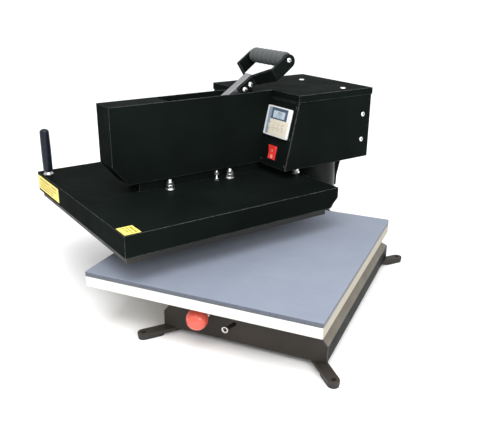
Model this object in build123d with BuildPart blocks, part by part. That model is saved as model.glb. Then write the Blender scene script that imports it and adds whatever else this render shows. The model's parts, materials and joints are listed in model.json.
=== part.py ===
"""Swing-away heat press, millimetres, +Z up, +X to the operator's right, +Y towards the column.

The origin is the centre of the four bench bolt holes, on the bench.
The head swings about the column, the lever drives the upper platen down,
and the press is drawn with its head swung aside and its lever back.
"""
import os
from math import atan2, cos, degrees, hypot, radians, sin

from build123d import *

# ---- driving dimensions -------------------------------------------------------------
# bench feet
BENCH_HOLE_DX = 362.0
BENCH_HOLE_DY = 536.0
BENCH_HOLE_R = 4.5
FOOT_PAD_T = 5.0
FOOT_BAR_T = 7.0
FOOT_BAR_W = 22.0
FOOT_BOSS_R = 7.0
# base housing
BASE_W = 317.0
BASE_Y0 = -230.0
BASE_Y1 = 255.0
BASE_Z = FOOT_PAD_T + FOOT_BAR_T
BASE_TOP = 85.4
SHOULDER_Z = 42.0
SHOULDER_IN = 34.0
REAR_BEVEL = 60.0
SHEET = 3.0
PLATE = 4.0
# lower platen
PLATEN_X = -63.0
PLATEN_Y = -35.0
PLATEN_W = 454.0
PLATEN_L = 500.0
BOARD_T = 20.4
PAD_T = 9.2
RAIL_T = 6.0
BOARD_Z = BASE_TOP + RAIL_T
PAD_TOP = BOARD_Z + BOARD_T + PAD_T
# column
COL_X = -61.6
COL_Y = 321.5
POST_R = 46.0
BUSH_R = 53.0
SLEEVE_R = 64.5
RUN_FIT = 0.05
SLEEVE_Z0 = 112.0
SLEEVE_Z1 = 366.0
FLANGE_R = 60.5
FLANGE_T = 8.0
FLANGE_BOLTS_R = 53.2
FLANGE_BOLT_COUNT = 6
SPINE_W = 126.0
SPINE_Z1 = 62.0
SPINE_Y0 = -150.0
SPINE_Y1 = COL_Y
# head
SWING = -31.8
ARM_HALF = 30.0
ARM_T = 3.0
ARM_Z0 = 235.0
ARM_Z1 = 393.4
ARM_FRONT = 528.5
NOSE_BOTTOM = 496.0
NOSE_Z = 275.0
BOX_NEAR = 125.5
BOX_FAR = -120.5
BOX_REAR = -68.0
BOX_FRONT_LOW = 176.0
BOX_FRONT_HIGH = 142.0
BOX_FRONT_HIGH_Z = 377.0
BOX_FAR_FRONT = 200.0
BOX_T = 2.0
LID_T = 1.2
LID_RIM = 15.0
# upper platen
UP_HALF = 228.0
UP_REAR = 113.6
UP_FRONT = 598.4
COVER_Z0 = 174.4
COVER_Z1 = 216.2
COVER_T = 2.0
HEATER_Z0 = 160.5
HEATER_T = 24.0
HEATER_IN = 6.0
PLATEN_FWD = (UP_REAR + UP_FRONT) / 2
# lever and press mechanism
PIVOT_FWD = 300.0
PIVOT_Z = 347.0
PIVOT_R = 8.0
PIVOT_HALF = ARM_HALF - 1.0
LEVER_ANGLE = 146.7
LEVER_SWING = 115.0
GRIP_S = 206.0
GRIP_R = 17.0
GRIP_HALF = 59.0
TRAVEL = 39.0
CRANK_START = 45.0
CRANK_END = CRANK_START - LEVER_SWING
CRANK_R = TRAVEL / (sin(radians(CRANK_START)) - sin(radians(CRANK_END)))
LINK_L = 60.0
LINK_PIN_R = 6.0
ROD_R = 8.0
# front lock
LOCK_X = -73.0
LOCK_Z = 60.0
BALL_R = 20.0

os.makedirs("parts", exist_ok=True)


def save(builder, name):
    """Label the finished piece and write it as its own STEP."""
    builder.part.label = name
    export_step(builder.part, "parts/" + name + ".step")


# ---- planes of the swung head ----------------------------------------------------------
# q runs to the operator's right of the head, fwd from the column to its front.
Q_DIR = Vector(cos(radians(SWING)), sin(radians(SWING)), 0)
FWD_DIR = Vector(sin(radians(SWING)), -cos(radians(SWING)), 0)
UP = Vector(0, 0, 1)


def head_point(q, fwd, z):
    return Vector(COL_X, COL_Y, z) + Q_DIR * q + FWD_DIR * fwd


def head_top(z):
    """Level plane at height z: its first axis is q and its second is minus fwd."""
    return Plane(origin=head_point(0, 0, z), x_dir=Q_DIR, z_dir=UP)


def head_side(q):
    """Upright plane at q: its axes are fwd and z, and it grows towards smaller q."""
    return Plane(origin=head_point(q, 0, 0), x_dir=FWD_DIR, z_dir=Q_DIR * -1)


def head_front(fwd):
    """Upright plane at fwd: its axes are q and z, and it grows forwards."""
    return Plane(origin=head_point(0, fwd, 0), x_dir=Q_DIR, z_dir=FWD_DIR)


# sloped control panel: its axes are q and the way up the slope, and it grows outwards
PANEL_RUN = BOX_FRONT_LOW - BOX_FRONT_HIGH
PANEL_RISE = BOX_FRONT_HIGH_Z - ARM_Z0
PANEL_LEN = hypot(PANEL_RUN, PANEL_RISE)
PANEL_NORMAL = FWD_DIR * (PANEL_RISE / PANEL_LEN) + UP * (PANEL_RUN / PANEL_LEN)


def panel(offset):
    """Plane of the sloped panel's inner face, moved out by offset."""
    origin = head_point(0, BOX_FRONT_LOW, ARM_Z0) + PANEL_NORMAL * offset
    return Plane(origin=origin, x_dir=Q_DIR, z_dir=PANEL_NORMAL)


# lever frame: s runs from the pivot to the grip, n is square to it, away from the column
LEVER_S = FWD_DIR * cos(radians(LEVER_ANGLE)) + UP * sin(radians(LEVER_ANGLE))
LEVER_N = FWD_DIR * sin(radians(LEVER_ANGLE)) - UP * cos(radians(LEVER_ANGLE))


def lever_side(q):
    """Plane of the lever's side at q: its axes are s and n, and it grows towards larger q."""
    origin = head_point(q, PIVOT_FWD, PIVOT_Z)
    return Plane(origin=origin, x_dir=LEVER_S, z_dir=Q_DIR)


def lever_top(n):
    """Plane over the lever at n: its axes are s and minus q, and it grows along n."""
    origin = head_point(0, PIVOT_FWD, PIVOT_Z) + LEVER_N * n
    return Plane(origin=origin, x_dir=LEVER_S, z_dir=LEVER_N)


def strip_outline(path, thickness):
    """Closed outline of a bent strip: both offsets of a path of points, mitred."""
    left, right = [], []
    for i, (x, y) in enumerate(path):
        before = path[max(i - 1, 0)]
        after = path[min(i + 1, len(path) - 1)]
        a = atan2(y - before[1], x - before[0]) if i else atan2(after[1] - y, after[0] - x)
        b = atan2(after[1] - y, after[0] - x) if i < len(path) - 1 else a
        middle = (a + b) / 2
        reach = thickness / 2 / cos((b - a) / 2)
        left.append((x - sin(middle) * reach, y + cos(middle) * reach))
        right.append((x + sin(middle) * reach, y - cos(middle) * reach))
    return left + right[::-1]


# ---- base -------------------------------------------------------------------------------
BASE_MID_Y = (BASE_Y0 + BASE_Y1) / 2
BASE_LEN = BASE_Y1 - BASE_Y0


def base_section(inset, low, high):
    """Cross-section of the base housing with its bevelled shoulders, drawn in X and Z."""
    half = BASE_W / 2 - inset
    top_half = BASE_W / 2 - SHOULDER_IN - inset * 0.5
    return [(-half, low), (half, low), (half, SHOULDER_Z), (top_half, high),
            (-top_half, high), (-half, SHOULDER_Z)]


def base_side(inset, low, high):
    """Side view of the base housing with its bevelled rear, drawn in Y and Z."""
    rear = BASE_Y1 - inset
    return [(BASE_Y0 - 5, low), (rear, low), (rear, SHOULDER_Z), (rear - REAR_BEVEL, high),
            (BASE_Y0 - 5, high)]


RAIL_XS = (-120.0, -10.0, 100.0)
LUG_Y = -196.0
with BuildPart() as base_housing:
    with BuildSketch(Plane.XZ.offset(-BASE_Y1)):
        Polygon(*base_section(0, BASE_Z, BASE_TOP), align=None)
    extrude(amount=BASE_LEN - PLATE)
    with BuildSketch(Plane.YZ.offset(-BASE_W)):
        Polygon(*base_side(0, BASE_Z, BASE_TOP), align=None)
    extrude(amount=2 * BASE_W, mode=Mode.INTERSECT)
    with BuildPart(mode=Mode.PRIVATE) as hollow:
        with BuildSketch(Plane.XZ.offset(-BASE_Y1)):
            Polygon(*base_section(SHEET, BASE_Z - 1, BASE_TOP - SHEET), align=None)
        extrude(amount=BASE_LEN + 1)
        with BuildSketch(Plane.YZ.offset(-BASE_W)):
            Polygon(*base_side(SHEET, BASE_Z - 1, BASE_TOP - SHEET), align=None)
        extrude(amount=2 * BASE_W, mode=Mode.INTERSECT)
    add(hollow.part, mode=Mode.SUBTRACT)
    # the spine beam leaves through the rear wall, and the lock lug hangs through the top
    with Locations((COL_X, BASE_Y1, (BASE_Z + SPINE_Z1) / 2)):
        Box(SPINE_W + 1, 80, SPINE_Z1 - BASE_Z + 2, mode=Mode.SUBTRACT)
    with Locations((LOCK_X, LUG_Y, BASE_TOP)):
        Box(44, 12, 20, mode=Mode.SUBTRACT)
save(base_housing, "base_housing")

# front plate: square bottom corners, bevelled top corners, hole for the pin, slanted slot
SLOT_X = -32.0
SLOT_Z = 33.0
SLOT_TILT = 40.0
SLOT_LEN = 24.0
with BuildPart() as base_front_plate:
    with BuildSketch(Plane.XZ.offset(-BASE_Y0 - PLATE)):
        Polygon(*base_section(0, BASE_Z, BASE_TOP), align=None)
        with Locations((LOCK_X, LOCK_Z)):
            Circle(9.0, mode=Mode.SUBTRACT)
        with Locations(Location((SLOT_X, SLOT_Z, 0), (0, 0, SLOT_TILT))):
            with Locations((SLOT_LEN / 2, 0)):
                SlotCenterToCenter(SLOT_LEN, 7.0, mode=Mode.SUBTRACT)
    extrude(amount=PLATE)
save(base_front_plate, "base_front_plate")

with BuildPart() as spine_beam:
    with BuildSketch(Plane.XZ.offset(-SPINE_Y1)):
        with Locations((COL_X, (BASE_Z + SPINE_Z1) / 2)):
            RectangleRounded(SPINE_W, SPINE_Z1 - BASE_Z, 6)
            RectangleRounded(SPINE_W - 8, SPINE_Z1 - BASE_Z - 8, 3, mode=Mode.SUBTRACT)
    extrude(amount=SPINE_Y1 - SPINE_Y0)
    # round rear end under the column
    with BuildSketch(Plane.XY.offset(BASE_Z)):
        with Locations((COL_X, COL_Y)):
            Circle(SPINE_W / 2)
            Circle(SPINE_W / 2 - 4, mode=Mode.SUBTRACT)
            with Locations((0, -SPINE_W)):
                Rectangle(SPINE_W + 2, 2 * SPINE_W, mode=Mode.SUBTRACT)
    extrude(amount=SPINE_Z1 - BASE_Z)
    with BuildSketch(Plane.XY.offset(SPINE_Z1 - 4)):
        with Locations((COL_X, COL_Y)):
            Circle(SPINE_W / 2)
    extrude(amount=4)
save(spine_beam, "spine_beam")

CROSS_YS = (-140.0, 150.0)
with BuildPart() as cross_members:
    for side in (-1, 1):
        edge = COL_X + side * SPINE_W / 2
        wall = side * (BASE_W / 2 - SHEET)
        for y in CROSS_YS:
            with Locations(((edge + wall) / 2, y, BASE_Z + 15)):
                Box(abs(wall - edge), 30, 28)
save(cross_members, "cross_members")

# splayed foot bars, each with a bench hole near its rounded tip
FOOT_ANGLE = 40.0
FOOT_LEN = 120.0
FOOT_PAD_L = 50.0
FEET = ((-1, -1), (1, -1), (-1, 1), (1, 1))


def foot_frame(side_x, side_y, z):
    """Level plane at a bench hole, with its first axis along the bar, away from the base."""
    along = Vector(side_x * sin(radians(FOOT_ANGLE)), side_y * cos(radians(FOOT_ANGLE)), 0)
    origin = Vector(side_x * BENCH_HOLE_DX / 2, side_y * BENCH_HOLE_DY / 2, z)
    return Plane(origin=origin, x_dir=along, z_dir=UP)


with BuildPart() as foot_bars:
    for side_x, side_y in FEET:
        with BuildSketch(foot_frame(side_x, side_y, FOOT_PAD_T)):
            with Locations((-FOOT_LEN / 2 + FOOT_BAR_W / 2, 0)):
                SlotOverall(FOOT_LEN, FOOT_BAR_W)
        extrude(amount=FOOT_BAR_T)
        # boss through the pad, so that the bolt clamps metal on the bench
        with BuildSketch(foot_frame(side_x, side_y, 0)):
            Circle(FOOT_BOSS_R)
        extrude(amount=FOOT_PAD_T + 1)
        with BuildSketch(foot_frame(side_x, side_y, -1)):
            Circle(BENCH_HOLE_R)
        extrude(amount=BASE_Z + 2, mode=Mode.SUBTRACT)
save(foot_bars, "foot_bars")

with BuildPart() as foot_pads:
    for side_x, side_y in FEET:
        with BuildSketch(foot_frame(side_x, side_y, 0)):
            with Locations((-FOOT_PAD_L / 2 + FOOT_BAR_W / 2 - 1, 0)):
                SlotOverall(FOOT_PAD_L, FOOT_BAR_W - 2)
            Circle(FOOT_BOSS_R + 0.3, mode=Mode.SUBTRACT)
        extrude(amount=FOOT_PAD_T)
save(foot_pads, "foot_pads")

# ---- lower platen -----------------------------------------------------------------------
with BuildPart() as platen_rails:
    for x in RAIL_XS:
        with Locations((x, BASE_MID_Y - REAR_BEVEL / 2, BASE_TOP + RAIL_T / 2)):
            Box(26, BASE_LEN - REAR_BEVEL - 40, RAIL_T)
save(platen_rails, "platen_rails")

with BuildPart() as platen_board:
    with BuildSketch(Plane.XY.offset(BOARD_Z)):
        with Locations((PLATEN_X, PLATEN_Y)):
            RectangleRounded(PLATEN_W, PLATEN_L, 3)
    extrude(amount=BOARD_T)
save(platen_board, "platen_board")

with BuildPart() as silicone_pad:
    with BuildSketch(Plane.XY.offset(BOARD_Z + BOARD_T)):
        with Locations((PLATEN_X, PLATEN_Y)):
            RectangleRounded(PLATEN_W, PLATEN_L, 3)
    extrude(amount=PAD_T)
save(silicone_pad, "silicone_pad")

with BuildPart() as lock_lug:
    with Locations((LOCK_X, LUG_Y, (BOARD_Z + LOCK_Z - 14) / 2)):
        Box(36, 8, BOARD_Z - LOCK_Z + 14)
    with BuildSketch(Plane.XZ.offset(-LUG_Y - 10)):
        with Locations((LOCK_X, LOCK_Z)):
            Circle(5.0 + RUN_FIT)
    extrude(amount=20, mode=Mode.SUBTRACT)
save(lock_lug, "lock_lug")

# spring pin behind the ball knob, in a bushed housing through the front plate
PIN_TRAVEL = 12.0
PIN_TIP_Y = LUG_Y + 5.0
HOUSING_Y0 = BASE_Y0 - 3.0
BALL_Y = HOUSING_Y0 - 7.0 - BALL_R
with BuildPart() as lock_housing:
    with BuildSketch(Plane.XZ.offset(-HOUSING_Y0)):
        with Locations((LOCK_X, LOCK_Z)):
            Circle(8.9)
            Circle(5.0 + RUN_FIT, mode=Mode.SUBTRACT)
    extrude(amount=-(LUG_Y - 5.0 - HOUSING_Y0))
    with BuildSketch(Plane.XZ.offset(-BASE_Y0)):
        with Locations((LOCK_X, LOCK_Z)):
            RegularPolygon(13.0, 6)
            Circle(8.8, mode=Mode.SUBTRACT)
    extrude(amount=3.0)
save(lock_housing, "lock_housing")

with BuildPart() as lock_pin:
    with BuildSketch(Plane.XZ.offset(-BALL_Y)):
        with Locations((LOCK_X, LOCK_Z)):
            Circle(5.0)
    extrude(amount=-(PIN_TIP_Y - BALL_Y))
    with Locations((LOCK_X, BALL_Y, LOCK_Z)):
        Sphere(BALL_R, mode=Mode.SUBTRACT)
save(lock_pin, "lock_pin")

with BuildPart() as ball_knob:
    with Locations((LOCK_X, BALL_Y, LOCK_Z)):
        Sphere(BALL_R)
save(ball_knob, "ball_knob")

with BuildPart() as slot_screw:
    with BuildSketch(Plane.XZ.offset(-BASE_Y0 - PLATE - 6)):
        with Locations((SLOT_X, SLOT_Z)):
            Circle(3.4)
    extrude(amount=PLATE + 6)
    with BuildSketch(Plane.XZ.offset(-BASE_Y0)):
        with Locations((SLOT_X, SLOT_Z)):
            Circle(6.5)
    extrude(amount=3.5)
    with BuildSketch(Plane.XZ.offset(-BASE_Y0 + 3.5)):
        with Locations((SLOT_X, SLOT_Z)):
            RegularPolygon(3.4, 6)
    extrude(amount=-2.5, mode=Mode.SUBTRACT)
save(slot_screw, "slot_screw")

# ---- column -----------------------------------------------------------------------------
FLANGE_Z = SPINE_Z1
POST_Z0 = FLANGE_Z + FLANGE_T
POST_Z1 = SLEEVE_Z1 + 4.0
COLLAR_Z = SLEEVE_Z0 - 4.0
with BuildPart() as column_post:
    with BuildSketch(Plane.XY.offset(FLANGE_Z)):
        with Locations((COL_X, COL_Y)):
            Circle(FLANGE_R)
            with PolarLocations(FLANGE_BOLTS_R, FLANGE_BOLT_COUNT):
                Circle(3.3, mode=Mode.SUBTRACT)
    extrude(amount=FLANGE_T)
    with BuildSketch(Plane.XY.offset(POST_Z0)):
        with Locations((COL_X, COL_Y)):
            Circle(POST_R)
    extrude(amount=POST_Z1 - POST_Z0)
    with BuildSketch(Plane.XY.offset(FLANGE_Z)):
        with Locations((COL_X, COL_Y)):
            Circle(POST_R - 6)
    extrude(amount=POST_Z1 - FLANGE_Z - 14, mode=Mode.SUBTRACT)
save(column_post, "column_post")

with BuildPart() as column_collar:
    with BuildSketch(Plane.XY.offset(COLLAR_Z - 18)):
        with Locations((COL_X, COL_Y)):
            Circle(SLEEVE_R - 1)
            Circle(POST_R, mode=Mode.SUBTRACT)
    extrude(amount=18)
save(column_collar, "column_collar")

with BuildPart() as thrust_washer:
    with BuildSketch(Plane.XY.offset(COLLAR_Z)):
        with Locations((COL_X, COL_Y)):
            Circle(SLEEVE_R - 2)
            Circle(POST_R, mode=Mode.SUBTRACT)
    extrude(amount=SLEEVE_Z0 - COLLAR_Z - 0.1)
save(thrust_washer, "thrust_washer")

with BuildPart() as flange_bolts:
    with BuildSketch(Plane.XY.offset(FLANGE_Z + FLANGE_T)):
        with Locations((COL_X, COL_Y)):
            with PolarLocations(FLANGE_BOLTS_R, FLANGE_BOLT_COUNT):
                RegularPolygon(5.77, 6)
    extrude(amount=4)
    with BuildSketch(Plane.XY.offset(FLANGE_Z)):
        with Locations((COL_X, COL_Y)):
            with PolarLocations(FLANGE_BOLTS_R, FLANGE_BOLT_COUNT):
                Circle(3.0)
    extrude(amount=FLANGE_T)
save(flange_bolts, "flange_bolts")

with BuildPart() as retaining_cap:
    with BuildSketch(Plane.XY.offset(POST_Z1)):
        with Locations((COL_X, COL_Y)):
            Circle(SLEEVE_R - 3)
    extrude(amount=4)
    with BuildSketch(Plane.XY.offset(POST_Z1 + 4)):
        with Locations((COL_X, COL_Y)):
            RegularPolygon(11, 6)
    extrude(amount=7)
save(retaining_cap, "retaining_cap")

# ---- head: sleeve, bushes and arm ----------------------------------------------------------
BUSH_LEN = 45.0
GUSSET_TURN = 49.0
with BuildPart() as head_sleeve:
    with BuildSketch(head_top(SLEEVE_Z0)):
        Circle(SLEEVE_R)
        Circle(BUSH_R, mode=Mode.SUBTRACT)
    extrude(amount=SLEEVE_Z1 - SLEEVE_Z0)
    # two slim gussets at the rear, under the control housing's floor
    for side in (-1, 1):
        turn = radians(GUSSET_TURN)
        outward = Q_DIR * (side * cos(turn)) - FWD_DIR * sin(turn)
        with BuildSketch(Plane(origin=head_point(0, 0, 0), x_dir=outward, z_dir=outward.cross(UP))):
            Polygon((SLEEVE_R - 4, 143), (SLEEVE_R + 3, 147), (SLEEVE_R + 3.6, 171),
                    (SLEEVE_R + 10, 205), (SLEEVE_R + 15.5, ARM_Z0), (SLEEVE_R - 4, ARM_Z0), align=None)
        extrude(amount=4, both=True)
save(head_sleeve, "head_sleeve")

with BuildPart() as column_bushes:
    for z in (SLEEVE_Z0, SLEEVE_Z1 - BUSH_LEN):
        with BuildSketch(head_top(z)):
            Circle(BUSH_R)
            Circle(POST_R + RUN_FIT, mode=Mode.SUBTRACT)
        extrude(amount=BUSH_LEN)
save(column_bushes, "column_bushes")


def arm_outline(inset, low):
    """Side view of the arm with its bevelled nose, drawn in fwd and z."""
    front = ARM_FRONT - inset
    return [(30, low), (NOSE_BOTTOM - inset, low), (NOSE_BOTTOM - inset, ARM_Z0),
            (front, NOSE_Z), (front, ARM_Z1 - inset), (30, ARM_Z1 - inset)]


SLOT_FWD0 = 186.0
SLOT_FWD1 = 400.0
with BuildPart() as arm_channel:
    with BuildSketch(head_side(ARM_HALF)):
        Polygon(*arm_outline(0, ARM_Z0), align=None)
    extrude(amount=2 * ARM_HALF)
    with BuildSketch(head_side(ARM_HALF - ARM_T)):
        Polygon(*arm_outline(ARM_T, ARM_Z0 - 5), align=None)
    extrude(amount=2 * (ARM_HALF - ARM_T), mode=Mode.SUBTRACT)
    # slot for the lever
    with BuildSketch(head_top(ARM_Z1 - ARM_T - 1)):
        with Locations((0, -(SLOT_FWD0 + SLOT_FWD1) / 2)):
            Rectangle(2 * (ARM_HALF - ARM_T), SLOT_FWD1 - SLOT_FWD0)
    extrude(amount=ARM_T + 2, mode=Mode.SUBTRACT)
    # the walls are welded to the sleeve
    with BuildSketch(head_top(ARM_Z0 - 1)):
        Circle(SLEEVE_R)
    extrude(amount=ARM_Z1 - ARM_Z0 + 2, mode=Mode.SUBTRACT)
    # blind seats for the pivot pin
    with BuildSketch(head_side(PIVOT_HALF)):
        with Locations((PIVOT_FWD, PIVOT_Z)):
            Circle(PIVOT_R)
    extrude(amount=2 * PIVOT_HALF, mode=Mode.SUBTRACT)
save(arm_channel, "arm_channel")

with BuildPart() as pivot_pin:
    with BuildSketch(head_side(PIVOT_HALF)):
        with Locations((PIVOT_FWD, PIVOT_Z)):
            Circle(PIVOT_R)
    extrude(amount=2 * PIVOT_HALF)
save(pivot_pin, "pivot_pin")

GUIDE_FWDS = (180.0, 455.0)
GUIDE_Z0 = 296.0
GUIDE_T = 20.0
with BuildPart() as guide_blocks:
    for fwd in GUIDE_FWDS:
        with BuildSketch(head_top(GUIDE_Z0)):
            with Locations((0, -fwd)):
                Rectangle(2 * (ARM_HALF - ARM_T), 36)
                Circle(ROD_R + RUN_FIT, mode=Mode.SUBTRACT)
        extrude(amount=GUIDE_T)
save(guide_blocks, "guide_blocks")

# ---- head: housing, lid and sloped panel ------------------------------------------------------
BOX_Z1 = ARM_Z1 - 1.4
ARM_GAP = 0.3
# heater lead's place, under a grommet in the floor, and the mains inlet's in the rear wall
GLAND_Q = 98.0
GLAND_FWD = 124.0
INLET_Q = 70.0
INLET_Z = 285.0


def near_box(inset, low, high, extra):
    """Side view of the control side of the housing, drawn in fwd and z."""
    slope = PANEL_RUN / PANEL_RISE
    front_low = BOX_FRONT_LOW - (low - ARM_Z0) * slope - extra
    front_high = BOX_FRONT_HIGH - extra
    return [(BOX_REAR + inset, low), (front_low, low), (front_high, BOX_FRONT_HIGH_Z),
            (front_high, high), (BOX_REAR + inset, high)]


with BuildPart() as head_housing:
    with BuildSketch(head_side(BOX_NEAR)):
        Polygon(*near_box(0, ARM_Z0, BOX_Z1, 0), align=None)
    extrude(amount=BOX_NEAR - ARM_HALF - ARM_GAP)
    with BuildSketch(head_top(ARM_Z0)):
        with Locations(((BOX_FAR - ARM_HALF - ARM_GAP) / 2, -(BOX_REAR + BOX_FAR_FRONT) / 2)):
            Rectangle(-BOX_FAR - ARM_HALF - ARM_GAP, BOX_FAR_FRONT - BOX_REAR)
        with Locations((0, -(BOX_REAR + 20) / 2)):
            Rectangle(2 * ARM_HALF + 1, 20 - BOX_REAR)
    extrude(amount=BOX_Z1 - ARM_Z0)
    with BuildPart(mode=Mode.PRIVATE) as housing_hollow:
        with BuildSketch(head_side(BOX_NEAR - BOX_T)):
            Polygon(*near_box(BOX_T, ARM_Z0 + BOX_T, BOX_Z1 + 1, BOX_T), align=None)
        extrude(amount=BOX_NEAR - ARM_HALF - ARM_GAP - 2 * BOX_T)
        with BuildSketch(head_top(ARM_Z0 + BOX_T)):
            with Locations(((BOX_FAR - ARM_HALF - ARM_GAP) / 2, -(BOX_REAR + BOX_FAR_FRONT) / 2)):
                Rectangle(-BOX_FAR - ARM_HALF - ARM_GAP - 2 * BOX_T,
                          BOX_FAR_FRONT - BOX_REAR - 2 * BOX_T)
            with Locations((0, -(BOX_REAR + BOX_T + SLEEVE_R) / 2)):
                Rectangle(2 * ARM_HALF + 8, SLEEVE_R - BOX_REAR - BOX_T)
        extrude(amount=BOX_Z1 - ARM_Z0)
    add(housing_hollow.part, mode=Mode.SUBTRACT)
    with BuildSketch(head_top(ARM_Z0 - 1)):
        Circle(SLEEVE_R + 0.5)
    extrude(amount=BOX_T + 2, mode=Mode.SUBTRACT)
    # window behind the sloped panel
    with BuildSketch(panel(-BOX_T - 4)):
        with Locations(((BOX_NEAR + ARM_HALF) / 2, PANEL_LEN / 2)):
            Rectangle(BOX_NEAR - ARM_HALF - 13, PANEL_LEN - 24)
    extrude(amount=BOX_T + 8, mode=Mode.SUBTRACT)
    # grommet hole over the heater lead
    with BuildSketch(head_top(ARM_Z0 - 1)):
        with Locations((GLAND_Q, -GLAND_FWD)):
            Circle(11)
    extrude(amount=BOX_T + 2, mode=Mode.SUBTRACT)
    # mains inlet in the rear wall
    with BuildSketch(head_front(BOX_REAR - 1)):
        with Locations((INLET_Q, INLET_Z)):
            Rectangle(28, 21)
    extrude(amount=BOX_T + 2, mode=Mode.SUBTRACT)
save(head_housing, "head_housing")

LID_FRONT = BOX_FRONT_HIGH + 2.4
LID_OUT = 1.6
LID_ARM_FRONT = 184.0
LID_Z0 = ARM_Z1 + 0.1
LID_Z1 = LID_Z0 + LID_T


def lid_outline(out):
    """Plan of the lid, drawn in q and minus fwd: it steps back twice at its front."""
    step = ARM_HALF + 0.4
    near_front = LID_FRONT + out - LID_OUT
    return [(BOX_FAR - out, -(BOX_REAR - out)), (BOX_FAR - out, -(BOX_FAR_FRONT + out)),
            (-step, -(BOX_FAR_FRONT + out)), (-step, -LID_ARM_FRONT), (step, -LID_ARM_FRONT),
            (step, -near_front), (BOX_NEAR + out, -near_front), (BOX_NEAR + out, -(BOX_REAR - out))]


with BuildPart() as head_lid:
    with BuildSketch(head_top(LID_Z1 - LID_RIM)):
        Polygon(*lid_outline(LID_OUT), align=None)
    extrude(amount=LID_RIM)
    with BuildSketch(head_top(LID_Z1 - LID_RIM - 1)):
        Polygon(*lid_outline(LID_OUT - LID_T), align=None)
    extrude(amount=LID_RIM + 1 - LID_T, mode=Mode.SUBTRACT)
    # the rim leaves the arm free
    with BuildSketch(head_top(LID_Z0 - LID_RIM - 1)):
        with Locations((0, -(BOX_FAR_FRONT + 10) / 2)):
            Rectangle(2 * ARM_HALF + 7, BOX_FAR_FRONT + 10)
    extrude(amount=LID_RIM + 1, mode=Mode.SUBTRACT)
save(head_lid, "head_lid")

CONTROL_Q = 72.5
CONTROL_V = 98.0
CONTROL_W = 82.0
CONTROL_H = 64.5
CONTROL_DEPTH = 34.0
SWITCH_Q = 75.0
SWITCH_V = 32.0
SWITCH_W = 31.0
SWITCH_H = 38.0
SWITCH_RIM = 1.8
PANEL_SCREWS = ((119.0, 68.0), (119.0, 137.0), (36.0, 9.0), (119.0, 9.0))
with BuildPart() as control_panel:
    with BuildSketch(panel(0)):
        with Locations(((BOX_NEAR + ARM_HALF) / 2 + 0.2, PANEL_LEN / 2)):
            Rectangle(BOX_NEAR - ARM_HALF - 0.6, PANEL_LEN - 1)
        with Locations((CONTROL_Q, CONTROL_V)):
            Rectangle(CONTROL_W - 11, CONTROL_H - 8, mode=Mode.SUBTRACT)
        with Locations((SWITCH_Q, SWITCH_V)):
            Rectangle(SWITCH_W - 2 * SWITCH_RIM + 0.2, SWITCH_H - 2 * SWITCH_RIM + 0.2,
                      mode=Mode.SUBTRACT)
    extrude(amount=BOX_T)
save(control_panel, "control_panel")


# round-headed screws: each is a plane, a place on it, a radius and a height
SIDE_FWD = -45.0
SIDE_ZS = (278.0, 336.0)
LID_SCREWS = [(head_top(LID_Z1), q, 0, 6.5, 3.5) for q in (-42, 103)]
NEAR_SCREWS = [(head_side(BOX_NEAR), SIDE_FWD, z, 5.5, -3.0) for z in SIDE_ZS]
FAR_SCREWS = [(head_side(BOX_FAR), SIDE_FWD, z, 5.5, 3.0) for z in SIDE_ZS]
SMALL_SCREWS = [(panel(BOX_T), q, v, 3.0, 1.6) for q, v in PANEL_SCREWS]
with BuildPart() as housing_screws:
    for plane, x, y, radius, height in LID_SCREWS + NEAR_SCREWS + FAR_SCREWS + SMALL_SCREWS:
        with BuildSketch(plane):
            with Locations((x, y)):
                Circle(radius)
        extrude(amount=height, taper=20)
save(housing_screws, "housing_screws")

# ---- control unit, its keys and the power switch --------------------------------------------
KEY_TRAVEL = 0.8
KEY_W = 9.0
KEY_H = 8.0
KEY_V = CONTROL_V - 10.0
DISPLAY_DQ = 2.0
DISPLAY_DV = 17.0
DISPLAY_W = 56.0
DISPLAY_H = 25.0
KEYS = {"key_mode": -22.5, "key_down": -7.5, "key_up": 7.5, "key_start": 22.5}
BEZEL_Z = BOX_T + 5.0
KEY_POCKET = 3.0
with BuildPart() as controller_body:
    with BuildSketch(panel(BOX_T)):
        with Locations((CONTROL_Q, CONTROL_V)):
            RectangleRounded(CONTROL_W, CONTROL_H, 3)
    extrude(amount=5.0)
    with BuildSketch(panel(-CONTROL_DEPTH)):
        with Locations((CONTROL_Q, CONTROL_V)):
            Rectangle(CONTROL_W - 12, CONTROL_H - 9)
    extrude(amount=CONTROL_DEPTH + BOX_T)
    with BuildSketch(panel(BEZEL_Z - 1.5)):
        with Locations((CONTROL_Q + DISPLAY_DQ, CONTROL_V + DISPLAY_DV)):
            Rectangle(DISPLAY_W, DISPLAY_H)
    extrude(amount=2, mode=Mode.SUBTRACT)
    with BuildSketch(panel(BEZEL_Z - KEY_POCKET)):
        for shift in KEYS.values():
            with Locations((CONTROL_Q + shift, KEY_V)):
                Rectangle(KEY_W + 0.6, KEY_H + 0.6)
    extrude(amount=KEY_POCKET + 1, mode=Mode.SUBTRACT)
save(controller_body, "controller_body")

with BuildPart() as controller_display:
    with BuildSketch(panel(BEZEL_Z - 1.5)):
        with Locations((CONTROL_Q + DISPLAY_DQ, CONTROL_V + DISPLAY_DV)):
            Rectangle(DISPLAY_W, DISPLAY_H)
    extrude(amount=1.4)
save(controller_display, "controller_display")

for name, shift in KEYS.items():
    with BuildPart() as key:
        with BuildSketch(panel(BEZEL_Z - KEY_POCKET + KEY_TRAVEL + 0.2)):
            with Locations((CONTROL_Q + shift, KEY_V)):
                RectangleRounded(KEY_W, KEY_H, 1.5)
        extrude(amount=KEY_POCKET)
    save(key, name)

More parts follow.
